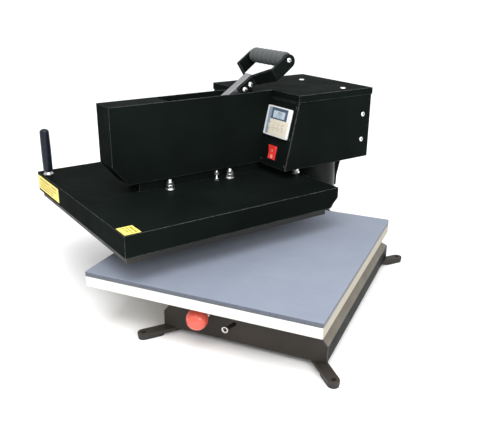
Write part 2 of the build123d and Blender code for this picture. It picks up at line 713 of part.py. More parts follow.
ROCKER_W = 24.0
ROCKER_H = 15.0
ROCKER_TILT = 9.0
with BuildPart() as switch_frame:
    with BuildSketch(panel(BOX_T)):
        with Locations((SWITCH_Q, SWITCH_V)):
            RectangleRounded(SWITCH_W, SWITCH_H, 1.5)
    extrude(amount=2.0)
    with BuildSketch(panel(-24)):
        with Locations((SWITCH_Q, SWITCH_V)):
            Rectangle(SWITCH_W - 2 * SWITCH_RIM, SWITCH_H - 2 * SWITCH_RIM)
    extrude(amount=24 + BOX_T)
    with BuildSketch(panel(-14)):
        with Locations((SWITCH_Q, SWITCH_V)):
            Rectangle(ROCKER_W + 0.8, 2 * ROCKER_H + 1.8)
    extrude(amount=30, mode=Mode.SUBTRACT)
save(switch_frame, "switch_frame")

# rocker: a wedge on round trunnions, resting on its lower end
ROCKER_PIVOT = panel(BOX_T).origin + Q_DIR * SWITCH_Q + panel(0).y_dir * SWITCH_V
ROCKER_PLANE = Plane(origin=ROCKER_PIVOT, x_dir=panel(0).y_dir, z_dir=Q_DIR)


def rocker_point(along, out):
    """Point of the rocker's section turned by its rest tilt."""
    a = radians(ROCKER_TILT)
    return (along * cos(a) - out * sin(a), along * sin(a) + out * cos(a))


with BuildPart() as rocker:
    with BuildSketch(ROCKER_PLANE.offset(-ROCKER_W / 2)):
        Polygon(*[rocker_point(*p) for p in ((-ROCKER_H, 5.0), (0, 3.0), (ROCKER_H, 5.0),
                                             (ROCKER_H - 1, -2), (3, -8), (-3, -8),
                                             (-ROCKER_H + 1, -2))], align=None)
    extrude(amount=ROCKER_W)
    with BuildSketch(ROCKER_PLANE.offset(-ROCKER_W / 2 - 0.3)):
        Circle(2.0)
    extrude(amount=ROCKER_W + 0.6)
save(rocker, "rocker")

with BuildPart() as mains_inlet:
    with BuildSketch(head_front(BOX_REAR - 3)):
        with Locations((INLET_Q, INLET_Z)):
            RectangleRounded(50, 27, 4)
    extrude(amount=3)
    with BuildSketch(head_front(BOX_REAR)):
        with Locations((INLET_Q, INLET_Z)):
            Rectangle(27, 20)
    extrude(amount=18)
    with BuildSketch(head_front(BOX_REAR - 3)):
        with Locations((INLET_Q, INLET_Z)):
            Rectangle(24, 16.5)
    extrude(amount=16, mode=Mode.SUBTRACT)
save(mains_inlet, "mains_inlet")

# ---- upper platen, which slides down from the arm -----------------------------------------------
COVER_BEVEL = 20.0


def cover_side(inset, low):
    """Side view of the heater cover, bevelled at its lower rear, drawn in fwd and z."""
    return [(UP_REAR + inset + COVER_BEVEL, low), (UP_FRONT - inset, low),
            (UP_FRONT - inset, COVER_Z1 - inset), (UP_REAR + inset, COVER_Z1 - inset),
            (UP_REAR + inset, COVER_Z0 + COVER_BEVEL)]


STUD_Q = 45.0
STUD_FWDS = (265.0, 412.0)
STUD_R = 4.2
STUD_POST_R = 8.0
EARTH_FWD = 299.0
EARTH_R = 2.5
STUD_UP = 21.0
BAR_W = 50.0
BAR_LEN = GUIDE_FWDS[1] - GUIDE_FWDS[0] + 34.0
BAR_FWD = (GUIDE_FWDS[0] + GUIDE_FWDS[1]) / 2
with BuildPart() as heater_cover:
    with BuildSketch(head_side(UP_HALF)):
        Polygon(*cover_side(0, COVER_Z0), align=None)
    extrude(amount=2 * UP_HALF)
    with BuildSketch(head_side(UP_HALF - COVER_T)):
        Polygon(*cover_side(COVER_T, COVER_Z0 - 1), align=None)
    extrude(amount=2 * (UP_HALF - COVER_T), mode=Mode.SUBTRACT)
    with BuildSketch(head_top(COVER_Z1 - 10)):
        with Locations((GLAND_Q, -GLAND_FWD)):
            Circle(4.6)
        for fwd in STUD_FWDS:
            with Locations((STUD_Q, -fwd), (-STUD_Q, -fwd)):
                Circle(STUD_R + 0.2)
        with Locations((STUD_Q, -EARTH_FWD)):
            Circle(EARTH_R + 0.2)
        # slot that the press bar rises through
        with Locations((0, -BAR_FWD)):
            Rectangle(BAR_W + 0.6, BAR_LEN + 0.6)
    extrude(amount=20, mode=Mode.SUBTRACT)
save(heater_cover, "heater_cover")

PLATE_MID = PLATEN_FWD + COVER_BEVEL / 2
PLATE_LEN = UP_FRONT - UP_REAR - COVER_BEVEL - 2 * HEATER_IN
with BuildPart() as heater_plate:
    with BuildSketch(head_top(HEATER_Z0)):
        with Locations((0, -PLATE_MID)):
            RectangleRounded(2 * (UP_HALF - HEATER_IN), PLATE_LEN, 4)
    extrude(amount=HEATER_T)
    # groove for the tubular element, in the upper face
    with BuildSketch(head_top(HEATER_Z0 + HEATER_T - 10)):
        with Locations((0, -PLATE_MID)):
            SlotOverall(PLATE_LEN - 90, 330, rotation=90)
            SlotOverall(PLATE_LEN - 112, 308, rotation=90, mode=Mode.SUBTRACT)
    extrude(amount=12, mode=Mode.SUBTRACT)
save(heater_plate, "heater_plate")

with BuildPart() as heating_element:
    with BuildSketch(head_top(HEATER_Z0 + HEATER_T - 9.8)):
        with Locations((0, -PLATE_MID)):
            SlotOverall(PLATE_LEN - 91, 329, rotation=90)
            SlotOverall(PLATE_LEN - 111, 309, rotation=90, mode=Mode.SUBTRACT)
    extrude(amount=9.6)
save(heating_element, "heating_element")

WOOL_Z = HEATER_Z0 + HEATER_T + 0.2
FLANGE_UP_T = 6.0
FLANGE_UP_Z = COVER_Z1 - COVER_T - FLANGE_UP_T
with BuildPart() as insulation_blanket:
    with BuildSketch(head_top(WOOL_Z)):
        with Locations((0, -PLATE_MID)):
            Rectangle(2 * (UP_HALF - HEATER_IN), PLATE_LEN)
        for fwd in STUD_FWDS:
            with Locations((STUD_Q, -fwd), (-STUD_Q, -fwd)):
                Circle(STUD_POST_R + 0.5, mode=Mode.SUBTRACT)
    extrude(amount=FLANGE_UP_Z - WOOL_Z - 0.5)
save(insulation_blanket, "insulation_blanket")

# mounting flange under the cover's top, with the press bar on it
BAR_Z0 = COVER_Z1 - COVER_T
BAR_Z1 = ARM_Z0 - 1.0
with BuildPart() as press_flange:
    with BuildSketch(head_top(FLANGE_UP_Z)):
        with Locations((0, -(STUD_FWDS[0] + STUD_FWDS[1]) / 2)):
            RectangleRounded(120, 190, 6)
        for fwd in STUD_FWDS:
            with Locations((STUD_Q, -fwd), (-STUD_Q, -fwd)):
                Circle(STUD_R + 0.2, mode=Mode.SUBTRACT)
    extrude(amount=FLANGE_UP_T)
save(press_flange, "press_flange")

# studs from the heater plate, each with a washer and two nuts, and a slim earth stud
with BuildPart() as platen_studs:
    for fwd in STUD_FWDS:
        for low, radius, height in ((WOOL_Z - 0.2, STUD_POST_R, FLANGE_UP_Z - WOOL_Z + 0.2),
                                    (FLANGE_UP_Z, STUD_R, COVER_Z1 + STUD_UP - FLANGE_UP_Z),
                                    (COVER_Z1, 10.3, 2.0)):
            with BuildSketch(head_top(low)):
                with Locations((STUD_Q, -fwd), (-STUD_Q, -fwd)):
                    Circle(radius)
            extrude(amount=height)
        for low, radius, height in ((COVER_Z1 + 2, 8.6, 8.0), (COVER_Z1 + 10, 7.5, 5.5)):
            with BuildSketch(head_top(low)):
                with Locations((STUD_Q, -fwd), (-STUD_Q, -fwd)):
                    RegularPolygon(radius, 6)
            extrude(amount=height)
    with BuildSketch(head_top(COVER_Z1 - COVER_T)):
        with Locations((STUD_Q, -EARTH_FWD)):
            Circle(EARTH_R)
    extrude(amount=COVER_T + STUD_UP)
    for low, radius, height in ((0, 5.5, 4.0), (STUD_UP - 7, 5.0, 5.0)):
        with BuildSketch(head_top(COVER_Z1 + low)):
            with Locations((STUD_Q, -EARTH_FWD)):
                RegularPolygon(radius, 6)
        extrude(amount=height)
save(platen_studs, "platen_studs")

with BuildPart() as press_bar:
    with BuildSketch(head_top(BAR_Z0)):
        with Locations((0, -BAR_FWD)):
            Rectangle(BAR_W, BAR_LEN)
    extrude(amount=BAR_Z1 - BAR_Z0)
save(press_bar, "press_bar")

ROD_Z1 = 384.0
with BuildPart() as guide_rods:
    for fwd in GUIDE_FWDS:
        with BuildSketch(head_top(BAR_Z1)):
            with Locations((0, -fwd)):
                Circle(ROD_R)
        extrude(amount=ROD_Z1 - BAR_Z1)
        with BuildSketch(head_top(ROD_Z1 - 5)):
            with Locations((0, -fwd)):
                Circle(16)
        extrude(amount=5)
save(guide_rods, "guide_rods")

SPRING_Z0 = GUIDE_Z0 + GUIDE_T
SPRING_Z1 = ROD_Z1 - 5.0
SPRING_WIRE = 1.4
SPRING_R = 11.5
SPRING_TURNS = 6
SPRING_H = SPRING_Z1 - SPRING_Z0 - 2 * SPRING_WIRE - 0.4
with BuildPart() as return_springs:
    for fwd in GUIDE_FWDS:
        with BuildLine(head_top(SPRING_Z0 + SPRING_WIRE + 0.2)):
            coil = Helix(SPRING_H / SPRING_TURNS, SPRING_H, SPRING_R, center=(0, -fwd, 0))
        with BuildSketch(Plane(origin=coil @ 0, z_dir=coil % 0)):
            Circle(SPRING_WIRE)
        sweep(path=coil, is_frenet=True)
save(return_springs, "return_springs")

# clevis on the press bar: its cross slots are the freed joint of the toggle
CRANK_A0 = radians(CRANK_START)
CRANK_FWD = PIVOT_FWD + CRANK_R * cos(CRANK_A0)
CRANK_Z = PIVOT_Z + CRANK_R * sin(CRANK_A0)
TOE_FWD = PIVOT_FWD + CRANK_R * (1 + cos(radians(CRANK_END))) / 2
TOE_SPAN = CRANK_R * (1 - cos(radians(CRANK_END)))
TOE_Z = CRANK_Z - LINK_L
TOE_SLACK = 3.2
LINK_HALF = 7.5
CHEEK_T = 7.0
with BuildPart() as press_clevis:
    for q in (LINK_HALF + 1 + CHEEK_T, -LINK_HALF - 1):
        with BuildSketch(head_side(q)):
            with Locations((TOE_FWD, (BAR_Z1 + TOE_Z + 16) / 2)):
                Rectangle(56, TOE_Z + 16 - BAR_Z1)
            with Locations((TOE_FWD, TOE_Z)):
                SlotCenterToCenter(TOE_SPAN + 1, 2 * (LINK_PIN_R + TOE_SLACK), mode=Mode.SUBTRACT)
        extrude(amount=CHEEK_T)
save(press_clevis, "press_clevis")

STICK_Q = -192.0
STICK_FWD = 585.5
STICK_R = 10.5
STICK_H = 102.0
with BuildPart() as stick_handle:
    with BuildSketch(head_top(COVER_Z1)):
        with Locations((STICK_Q, -STICK_FWD)):
            Circle(STICK_R)
    extrude(amount=STICK_H)
    fillet(stick_handle.edges().filter_by(GeomType.CIRCLE).sort_by(Axis.Z)[-1], 5)
    fillet(stick_handle.edges().filter_by(GeomType.CIRCLE).sort_by(Axis.Z)[0], 1.5)
save(stick_handle, "stick_handle")

# heater lead: it stands in the platen's gland and slides through the housing's grommet
LEAD_R = 4.0
LEAD_Z0 = COVER_Z1 - 14.0
with BuildPart() as lead_gland:
    with BuildSketch(head_top(COVER_Z1)):
        with Locations((GLAND_Q, -GLAND_FWD)):
            Circle(8.5)
            Circle(LEAD_R, mode=Mode.SUBTRACT)
    extrude(amount=7)
    with BuildSketch(head_top(COVER_Z1 + 7)):
        with Locations((GLAND_Q, -GLAND_FWD)):
            Circle(6.5)
            Circle(LEAD_R, mode=Mode.SUBTRACT)
    extrude(amount=7)
save(lead_gland, "lead_gland")

with BuildPart() as heater_lead:
    with BuildSketch(head_top(LEAD_Z0)):
        with Locations((GLAND_Q, -GLAND_FWD)):
            Circle(LEAD_R)
    extrude(amount=ARM_Z0 + 50 - LEAD_Z0)
save(heater_lead, "heater_lead")

with BuildPart() as housing_grommet:
    with BuildSketch(head_top(ARM_Z0 - 1.5)):
        with Locations((GLAND_Q, -GLAND_FWD)):
            Circle(13)
            Circle(LEAD_R + 1, mode=Mode.SUBTRACT)
    extrude(amount=1.5)
    with BuildSketch(head_top(ARM_Z0)):
        with Locations((GLAND_Q, -GLAND_FWD)):
            Circle(10.9)
            Circle(LEAD_R + 1, mode=Mode.SUBTRACT)
    extrude(amount=BOX_T + 2)
save(housing_grommet, "housing_grommet")

# ---- lever --------------------------------------------------------------------------------
BAR_HALF = 10.5
BAR_TOP = 6.0
BAR_LOW = -16.0
BAR_END = 140.0
CHEEK_Q0 = 8.7
CHEEK_Q1 = 22.0
HUB_R = 16.0
CHEEK_S = 24.0
CRANK_REL = radians(CRANK_START - LEVER_ANGLE)
CRANK_S = CRANK_R * cos(CRANK_REL)
CRANK_N = -CRANK_R * sin(CRANK_REL)
CRANK_TURN = degrees(atan2(CRANK_N, CRANK_S))
with BuildPart() as lever_bar:
    with BuildSketch(lever_side(-BAR_HALF)):
        Polygon((34, BAR_LOW), (BAR_END, BAR_LOW), (BAR_END, BAR_TOP), (34, BAR_TOP), align=None)
    extrude(amount=2 * BAR_HALF)
    # root block, as wide as the fork
    with BuildSketch(lever_side(-CHEEK_Q1)):
        Polygon((34, -14), (48, -14), (48, BAR_TOP), (34, BAR_TOP), align=None)
    extrude(amount=2 * CHEEK_Q1)
    # fork and crank cheeks
    with BuildSketch(lever_side(-CHEEK_Q0)):
        Circle(36)
    extrude(amount=2 * CHEEK_Q0, mode=Mode.SUBTRACT)
    for q in (-CHEEK_Q1, CHEEK_Q0):
        with BuildSketch(lever_side(q)):
            Circle(HUB_R)
            with Locations((CHEEK_S / 2, 0)):
                Rectangle(CHEEK_S, 2 * HUB_R)
            with Locations((CHEEK_S, 0)):
                Circle(HUB_R)
            with Locations((CRANK_S, CRANK_N)):
                Circle(12)
            with Locations(Location((CRANK_S / 2, CRANK_N / 2, 0), (0, 0, CRANK_TURN))):
                Rectangle(CRANK_R, 24)
        extrude(amount=CHEEK_Q1 - CHEEK_Q0)
    with BuildSketch(lever_side(-40)):
        Circle(PIVOT_R + RUN_FIT)
        with Locations((CRANK_S, CRANK_N)):
            Circle(LINK_PIN_R)
    extrude(amount=80, mode=Mode.SUBTRACT)
save(lever_bar, "lever_bar")

with BuildPart() as crank_pin:
    with BuildSketch(lever_side(-CHEEK_Q1)):
        with Locations((CRANK_S, CRANK_N)):
            Circle(LINK_PIN_R)
    extrude(amount=2 * CHEEK_Q1)
save(crank_pin, "crank_pin")

PLATE_T = 5.0
PLATE_LOW_Q = BAR_HALF + 0.1 + PLATE_T / 2
PLATE_HIGH_Q = GRIP_HALF + 2.6 + PLATE_T / 2
PLATE_LOW = -20.0
BEND_S = 137.0
BEND_END_S = 161.0
PLATE_START = 94.0
EYE_N = -3.0
EYE_R = 15.0
BOLT_SS = (105.5, 124.0)
BOLT_N = -9.5


def handle_plate(name, side):
    """Joggled side plate between the lever bar and one end of the grip."""
    path = [(PLATE_START, -side * PLATE_LOW_Q), (BEND_S, -side * PLATE_LOW_Q),
            (BEND_END_S, -side * PLATE_HIGH_Q), (GRIP_S + EYE_R, -side * PLATE_HIGH_Q)]
    with BuildPart() as plate:
        with BuildSketch(lever_top(PLATE_LOW)):
            Polygon(*strip_outline(path, PLATE_T), align=None)
        extrude(amount=EYE_N + EYE_R - PLATE_LOW)
        with BuildSketch(lever_side(-100)):
            Polygon((PLATE_START - 5, PLATE_LOW), (BEND_END_S, PLATE_LOW), (GRIP_S, EYE_N - EYE_R),
                    (GRIP_S, EYE_N + EYE_R), (BEND_END_S, BAR_TOP + 5), (BEND_S, BAR_TOP - 2),
                    (PLATE_START - 5, BAR_TOP - 3), align=None)
            with Locations((GRIP_S, EYE_N)):
                Circle(EYE_R)
        extrude(amount=200, mode=Mode.INTERSECT)
        with BuildSketch(lever_side(-100)):
            with Locations((GRIP_S, 0)):
                Circle(4.1)
        extrude(amount=200, mode=Mode.SUBTRACT)
    save(plate, name)


handle_plate("handle_plate_near", 1)
handle_plate("handle_plate_far", -1)

with BuildPart() as grip_tube:
    with BuildSketch(lever_side(-GRIP_HALF - 2.5)):
        with Locations((GRIP_S, 0)):
            Circle(9.5)
            Circle(7.5, mode=Mode.SUBTRACT)
    extrude(amount=2 * GRIP_HALF + 5)
save(grip_tube, "grip_tube")

GRIP_RINGS = 6
RING_PITCH = 2 * GRIP_HALF / (GRIP_RINGS + 1)
with BuildPart() as foam_grip:
    with BuildSketch(lever_side(-GRIP_HALF)):
        with Locations((GRIP_S, 0)):
            Circle(GRIP_R)
    extrude(amount=2 * GRIP_HALF)
    for i in range(GRIP_RINGS):
        with BuildSketch(lever_side(-GRIP_HALF + (i + 1) * RING_PITCH - 1.2)):
            with Locations((GRIP_S, 0)):
                Circle(GRIP_R + 1)
                Circle(GRIP_R - 1.6, mode=Mode.SUBTRACT)
        extrude(amount=2.4, mode=Mode.SUBTRACT)
    with BuildSketch(lever_side(-GRIP_HALF)):
        with Locations((GRIP_S, 0)):
            Circle(9.6)
    extrude(amount=2 * GRIP_HALF, mode=Mode.SUBTRACT)
save(foam_grip, "foam_grip")

# button-head screws: each is its place along and across the lever, its face and its radius
HEAD_T = 4.0
with BuildPart() as lever_bolts:
    inner_face = PLATE_LOW_Q + PLATE_T / 2
    outer_face = PLATE_HIGH_Q + PLATE_T / 2
    for s, n, face, radius in ((BOLT_SS[0], BOLT_N, inner_face, 6.8),
                               (BOLT_SS[1], BOLT_N, inner_face, 6.8), (GRIP_S, 0, outer_face, 5.8)):
        for start, height in ((face, HEAD_T), (-face, -HEAD_T)):
            with BuildSketch(lever_side(start)):
                with Locations((s, n)):
                    Circle(radius)
            extrude(amount=height, taper=25)
    for start in (outer_face - 20, -outer_face):
        with BuildSketch(lever_side(start)):
            with Locations((GRIP_S, 0)):
                Circle(4.0)
        extrude(amount=20)
save(lever_bolts, "lever_bolts")

# ---- toggle link --------------------------------------------------------------------------
with BuildPart() as toggle_link:
    with BuildSketch(head_side(LINK_HALF)):
        with Locations((CRANK_FWD, CRANK_Z - LINK_L / 2)):
            Rectangle(15.4, LINK_L)
            with Locations((0, LINK_L / 2), (0, -LINK_L / 2)):
                Circle(10)
        with Locations((CRANK_FWD, CRANK_Z)):
            Circle(LINK_PIN_R + RUN_FIT, mode=Mode.SUBTRACT)
        with Locations((CRANK_FWD, TOE_Z)):
            Circle(LINK_PIN_R, mode=Mode.SUBTRACT)
    extrude(amount=2 * LINK_HALF)
save(toggle_link, "toggle_link")

with BuildPart() as toe_pin:
    with BuildSketch(head_side(LINK_HALF + 1 + CHEEK_T + 2)):
        with Locations((CRANK_FWD, TOE_Z)):
            Circle(LINK_PIN_R)
    extrude(amount=2 * (LINK_HALF + 1 + CHEEK_T + 2))
save(toe_pin, "toe_pin")
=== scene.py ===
"""Looks of the swing-away heat press, in metres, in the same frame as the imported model."""
import json
from math import atan2, cos, pi, radians, sin, tan

import bmesh
import bpy
from mathutils import Matrix, Vector


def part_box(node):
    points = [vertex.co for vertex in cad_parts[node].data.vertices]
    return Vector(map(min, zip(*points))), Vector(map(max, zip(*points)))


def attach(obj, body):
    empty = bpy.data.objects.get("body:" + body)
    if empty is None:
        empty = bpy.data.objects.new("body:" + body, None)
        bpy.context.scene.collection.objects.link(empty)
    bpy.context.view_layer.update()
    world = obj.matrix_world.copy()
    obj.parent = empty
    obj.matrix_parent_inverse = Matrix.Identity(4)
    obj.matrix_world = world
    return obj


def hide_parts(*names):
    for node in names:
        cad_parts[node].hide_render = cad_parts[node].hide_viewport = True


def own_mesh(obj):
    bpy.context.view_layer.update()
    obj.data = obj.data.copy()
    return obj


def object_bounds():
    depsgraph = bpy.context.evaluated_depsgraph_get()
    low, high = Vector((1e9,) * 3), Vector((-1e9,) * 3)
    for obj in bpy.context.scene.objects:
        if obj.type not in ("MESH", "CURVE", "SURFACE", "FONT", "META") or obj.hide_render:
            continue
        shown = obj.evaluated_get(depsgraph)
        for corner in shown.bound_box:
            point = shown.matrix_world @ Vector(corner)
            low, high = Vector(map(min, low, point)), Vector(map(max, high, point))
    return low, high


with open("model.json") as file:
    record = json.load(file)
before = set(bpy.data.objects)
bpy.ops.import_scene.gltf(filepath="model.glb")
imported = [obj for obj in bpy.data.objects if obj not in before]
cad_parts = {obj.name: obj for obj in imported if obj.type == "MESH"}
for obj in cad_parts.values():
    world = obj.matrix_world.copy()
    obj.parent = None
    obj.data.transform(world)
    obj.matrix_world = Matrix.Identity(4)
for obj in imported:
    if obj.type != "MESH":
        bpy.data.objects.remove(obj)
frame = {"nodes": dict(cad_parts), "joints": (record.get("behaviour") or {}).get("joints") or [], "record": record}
cad_low, cad_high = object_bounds()
MM = 0.001

# ---- the head's own axes, from its joint and from the arm --------
JOINTS = {joint["name"]: joint for joint in frame["joints"]}
Q_DIR = Vector(JOINTS["lever_pull"]["axis"]).normalized()
UP = Vector((0, 0, 1))
FWD_DIR = Q_DIR.cross(UP)
COLUMN = Vector(JOINTS["head_swing"]["pos_m"])
PANEL_NORMAL = -Vector(JOINTS["mode_key_press"]["axis"]).normalized()
PANEL_UP = PANEL_NORMAL.cross(Q_DIR)


def head_point(q, fwd, z):
    """Point of the swung head: q to its right and fwd from the column, in mm, z above the bench."""
    return Vector((COLUMN.x, COLUMN.y, z * MM)) + Q_DIR * (q * MM) + FWD_DIR * (fwd * MM)


def placement(origin, x_dir, z_dir):
    """Matrix that puts a piece made about the origin at a place, with two of its axes given."""
    x_axis = x_dir.normalized()
    z_axis = z_dir.normalized()
    y_axis = z_axis.cross(x_axis)
    matrix = Matrix((x_axis, y_axis, z_axis)).transposed().to_4x4()
    matrix.translation = origin
    return matrix


# ---- materials ---------------------------------------------------
class Shader:
    """A material under construction, with short names for the nodes it uses."""

    def __init__(self, name):
        self.material = bpy.data.materials.new(name)
        self.material.use_nodes = True
        self.nodes = self.material.node_tree.nodes
        self.links = self.material.node_tree.links
        self.surface = self.nodes["Principled BSDF"]
        self.place = self.nodes.new("ShaderNodeTexCoord").outputs["Object"]

    def set(self, **values):
        for name, value in values.items():
            self.surface.inputs[name.replace("_", " ")].default_value = value

    def stretched(self, scale):
        node = self.nodes.new("ShaderNodeMapping")
        node.inputs["Scale"].default_value = scale
        self.links.new(self.place, node.inputs["Vector"])
        return node.outputs["Vector"]

    def noise(self, scale, detail=3.0, roughness=0.5, vector=None):
        node = self.nodes.new("ShaderNodeTexNoise")
        node.inputs["Scale"].default_value = scale
        node.inputs["Detail"].default_value = detail
        node.inputs["Roughness"].default_value = roughness
        self.links.new(vector or self.place, node.inputs["Vector"])
        return node.outputs["Fac"]

    def cells(self, scale, feature="F1"):
        node = self.nodes.new("ShaderNodeTexVoronoi")
        node.feature = feature
        node.inputs["Scale"].default_value = scale
        self.links.new(self.place, node.inputs["Vector"])
        return node.outputs["Distance"]

    def ramp(self, factor, *stops):
        """Colours by factor; each stop is a place from 0 to 1 and a colour."""
        node = self.nodes.new("ShaderNodeValToRGB")
        elements = node.color_ramp.elements
        while len(elements) < len(stops):
            elements.new(0.5)
        for element, (place, colour) in zip(elements, stops):
            element.position = place
            element.color = (*colour, 1.0)
        self.links.new(factor, node.inputs["Fac"])
        return node.outputs["Color"]

    def span(self, value, low, high, start=0.3, end=0.7):
        node = self.nodes.new("ShaderNodeMapRange")
        node.inputs["From Min"].default_value = start
        node.inputs["From Max"].default_value = end
        node.inputs["To Min"].default_value = low
        node.inputs["To Max"].default_value = high
        self.links.new(value, node.inputs["Value"])
        return node.outputs["Result"]

    def mix(self, factor, first, second):
        node = self.nodes.new("ShaderNodeMix")
        node.data_type = "RGBA"
        self.links.new(factor, node.inputs["Factor"])
        self.links.new(first, node.inputs["A"])
        self.links.new(second, node.inputs["B"])
        return node.outputs["Result"]

    def math(self, operation, first, second):
        node = self.nodes.new("ShaderNodeMath")
        node.operation = operation
        for slot_index, value in enumerate((first, second)):
            if isinstance(value, (int, float)):
                node.inputs[slot_index].default_value = value
            else:
                self.links.new(value, node.inputs[slot_index])
        return node.outputs["Value"]

    def facing_up(self, start, end):
        """0 on upright faces and 1 on those that face up, between two heights of the normal."""
        normal = self.nodes.new("ShaderNodeNewGeometry").outputs["Normal"]
        split = self.nodes.new("ShaderNodeSeparateXYZ")
        self.links.new(normal, split.inputs["Vector"])
        return self.span(split.outputs["Z"], 0.0, 1.0, start, end)

    def edges(self, radius):
        """1 along sharp edges, within a radius in mm, and 0 on the faces."""
        rounded = self.nodes.new("ShaderNodeBevel")
        rounded.samples = 4
        rounded.inputs["Radius"].default_value = radius * MM
        product = self.nodes.new("ShaderNodeVectorMath")
        product.operation = "DOT_PRODUCT"
        self.links.new(rounded.outputs["Normal"], product.inputs[0])
        geometry = self.nodes.new("ShaderNodeNewGeometry")
        self.links.new(geometry.outputs["True Normal"], product.inputs[1])
        return self.span(product.outputs["Value"], 1.0, 0.0, 0.80, 0.985)

    def colour(self, output):
        self.links.new(output, self.surface.inputs["Base Color"])

    def rough(self, output):
        self.links.new(output, self.surface.inputs["Roughness"])

    def bump(self, height, distance, strength=1.0):
        """Adds a bump layer, on top of any made before it; distance is in metres."""
        node = self.nodes.new("ShaderNodeBump")
        node.inputs["Distance"].default_value = distance
        node.inputs["Strength"].default_value = strength
        self.links.new(height, node.inputs["Height"])
        normal = self.surface.inputs["Normal"]
        if normal.links:
            self.links.new(normal.links[0].from_socket, node.inputs["Normal"])
        self.links.new(node.outputs["Normal"], normal)


def tinted(colour, factor):
    return tuple(min(channel * factor, 1.0) for channel in colour)


# grey of the sharp edges: partly painted highlight, partly paint rubbed through
EDGE_HIGHLIGHT_AND_WEAR_GREY = (0.30, 0.31, 0.31)


def powder_coat(name, colour, roughness, gloss, edge_highlight_and_wear=0.0, dust=None):
    """Sprayed and baked coat: a fine orange peel, small gloss changes, light handling dust, and on sharp edges a
    lighter grey that is partly a painted highlight and partly paint rubbed through.
    """
    s = Shader(name)
    s.set(Specular_IOR_Level=gloss)
    cloud = s.noise(7.0, 4.0)
    coat = s.ramp(cloud, (0.35, tinted(colour, 0.82)), (0.65, tinted(colour, 1.22)))
    if dust:
        grime = s.ramp(s.noise(30.0, 4.0), (0.3, tinted(dust, 0.75)), (0.7, dust))
        coat = s.mix(s.facing_up(0.25, 0.55), coat, grime)
    # sharp edges painted lighter: partly a painted highlight, partly paint rubbed through
    if edge_highlight_and_wear:
        highlit_and_worn_edge = s.ramp(s.noise(90.0, 4.0, 0.7), (0.35, tinted(EDGE_HIGHLIGHT_AND_WEAR_GREY, edge_highlight_and_wear * 0.3)),
                      (0.6, tinted(EDGE_HIGHLIGHT_AND_WEAR_GREY, edge_highlight_and_wear)))
        coat = s.mix(s.edges(1.3), coat, highlit_and_worn_edge)
    s.colour(coat)
    s.rough(s.span(s.noise(26.0, 5.0, 0.65), roughness - 0.06, roughness + 0.08))
    s.bump(s.noise(420.0, 2.0), 0.00012, 0.35)
    s.bump(s.noise(1900.0, 2.0), 0.00003, 0.4)
    return s.material


def zinc(name, colour, roughness):
    """Bright plating: spangled gloss and a faint bluish to yellowish tint."""
    s = Shader(name)
    s.set(Metallic=1.0)
    warm = (colour[0], colour[1] * 0.985, colour[2] * 0.93)
    s.colour(s.ramp(s.noise(55.0, 3.0), (0.38, colour), (0.66, warm)))
    s.rough(s.span(s.noise(180.0, 4.0, 0.7), roughness - 0.07, roughness + 0.1))
    s.bump(s.noise(900.0, 3.0), 0.00002, 0.5)
    return s.material


def turned_steel(name, colour, roughness):
    """Machined steel, with fine grinding lines round it."""
    s = Shader(name)
    s.set(Metallic=1.0)
    lines = s.noise(1.0, 4.0, 0.6, s.stretched((60.0, 60.0, 5200.0)))
    s.colour(s.ramp(s.noise(30.0), (0.35, tinted(colour, 0.85)), (0.7, colour)))
    s.rough(s.span(lines, roughness - 0.05, roughness + 0.1))
    s.bump(lines, 0.00001, 0.5)
    return s.material


def coated_plate(name):
    """Cast heater plate with its baked non-stick coat, whose dark tone is partly painted shade."""
    s = Shader(name)
    s.set(Metallic=0.35, Specular_IOR_Level=0.4)
    fleck = s.noise(850.0, 3.0, 0.7)
    # dark flecked coat, toned darker than the coat itself as painted shade
    s.colour(s.ramp(fleck, (0.3, (0.012, 0.0115, 0.0105)), (0.62, (0.026, 0.025, 0.023))))
    s.rough(s.span(s.noise(40.0, 4.0), 0.42, 0.56))
    s.bump(fleck, 0.00006, 0.4)
    return s.material


def silicone(name):
    """Blue-grey silicone sponge: a fine open grain, soft mottling and chalky bloom, with its upright sides painted
    darker as painted shade.
    """
    s = Shader(name)
    s.set(Specular_IOR_Level=0.3, Sheen_Weight=0.12, Sheen_Roughness=0.5)
    cloud = s.ramp(s.noise(5.0, 5.0, 0.6), (0.32, (0.165, 0.192, 0.248)), (0.7, (0.205, 0.232, 0.290)))
    grain = s.noise(1500.0, 3.0, 0.7)
    pale = s.ramp(s.noise(16.0, 6.0, 0.7), (0.45, (0.19, 0.218, 0.276)), (0.75, (0.235, 0.262, 0.318)))
    skin = s.mix(s.span(grain, 0.15, 0.6), cloud, pale)
    # darker copy of the blue-grey for the upright sides: painted shade
    painted_shade_side = s.ramp(s.noise(300.0, 4.0), (0.3, (0.075, 0.085, 0.11)), (0.7, (0.11, 0.125, 0.155)))
    s.colour(s.mix(s.facing_up(0.3, 0.7), painted_shade_side, skin))
    s.rough(s.span(s.noise(22.0, 4.0), 0.62, 0.8))
    s.bump(grain, 0.00012, 0.45)
    s.bump(s.noise(90.0, 3.0), 0.00025, 0.12)
    return s.material


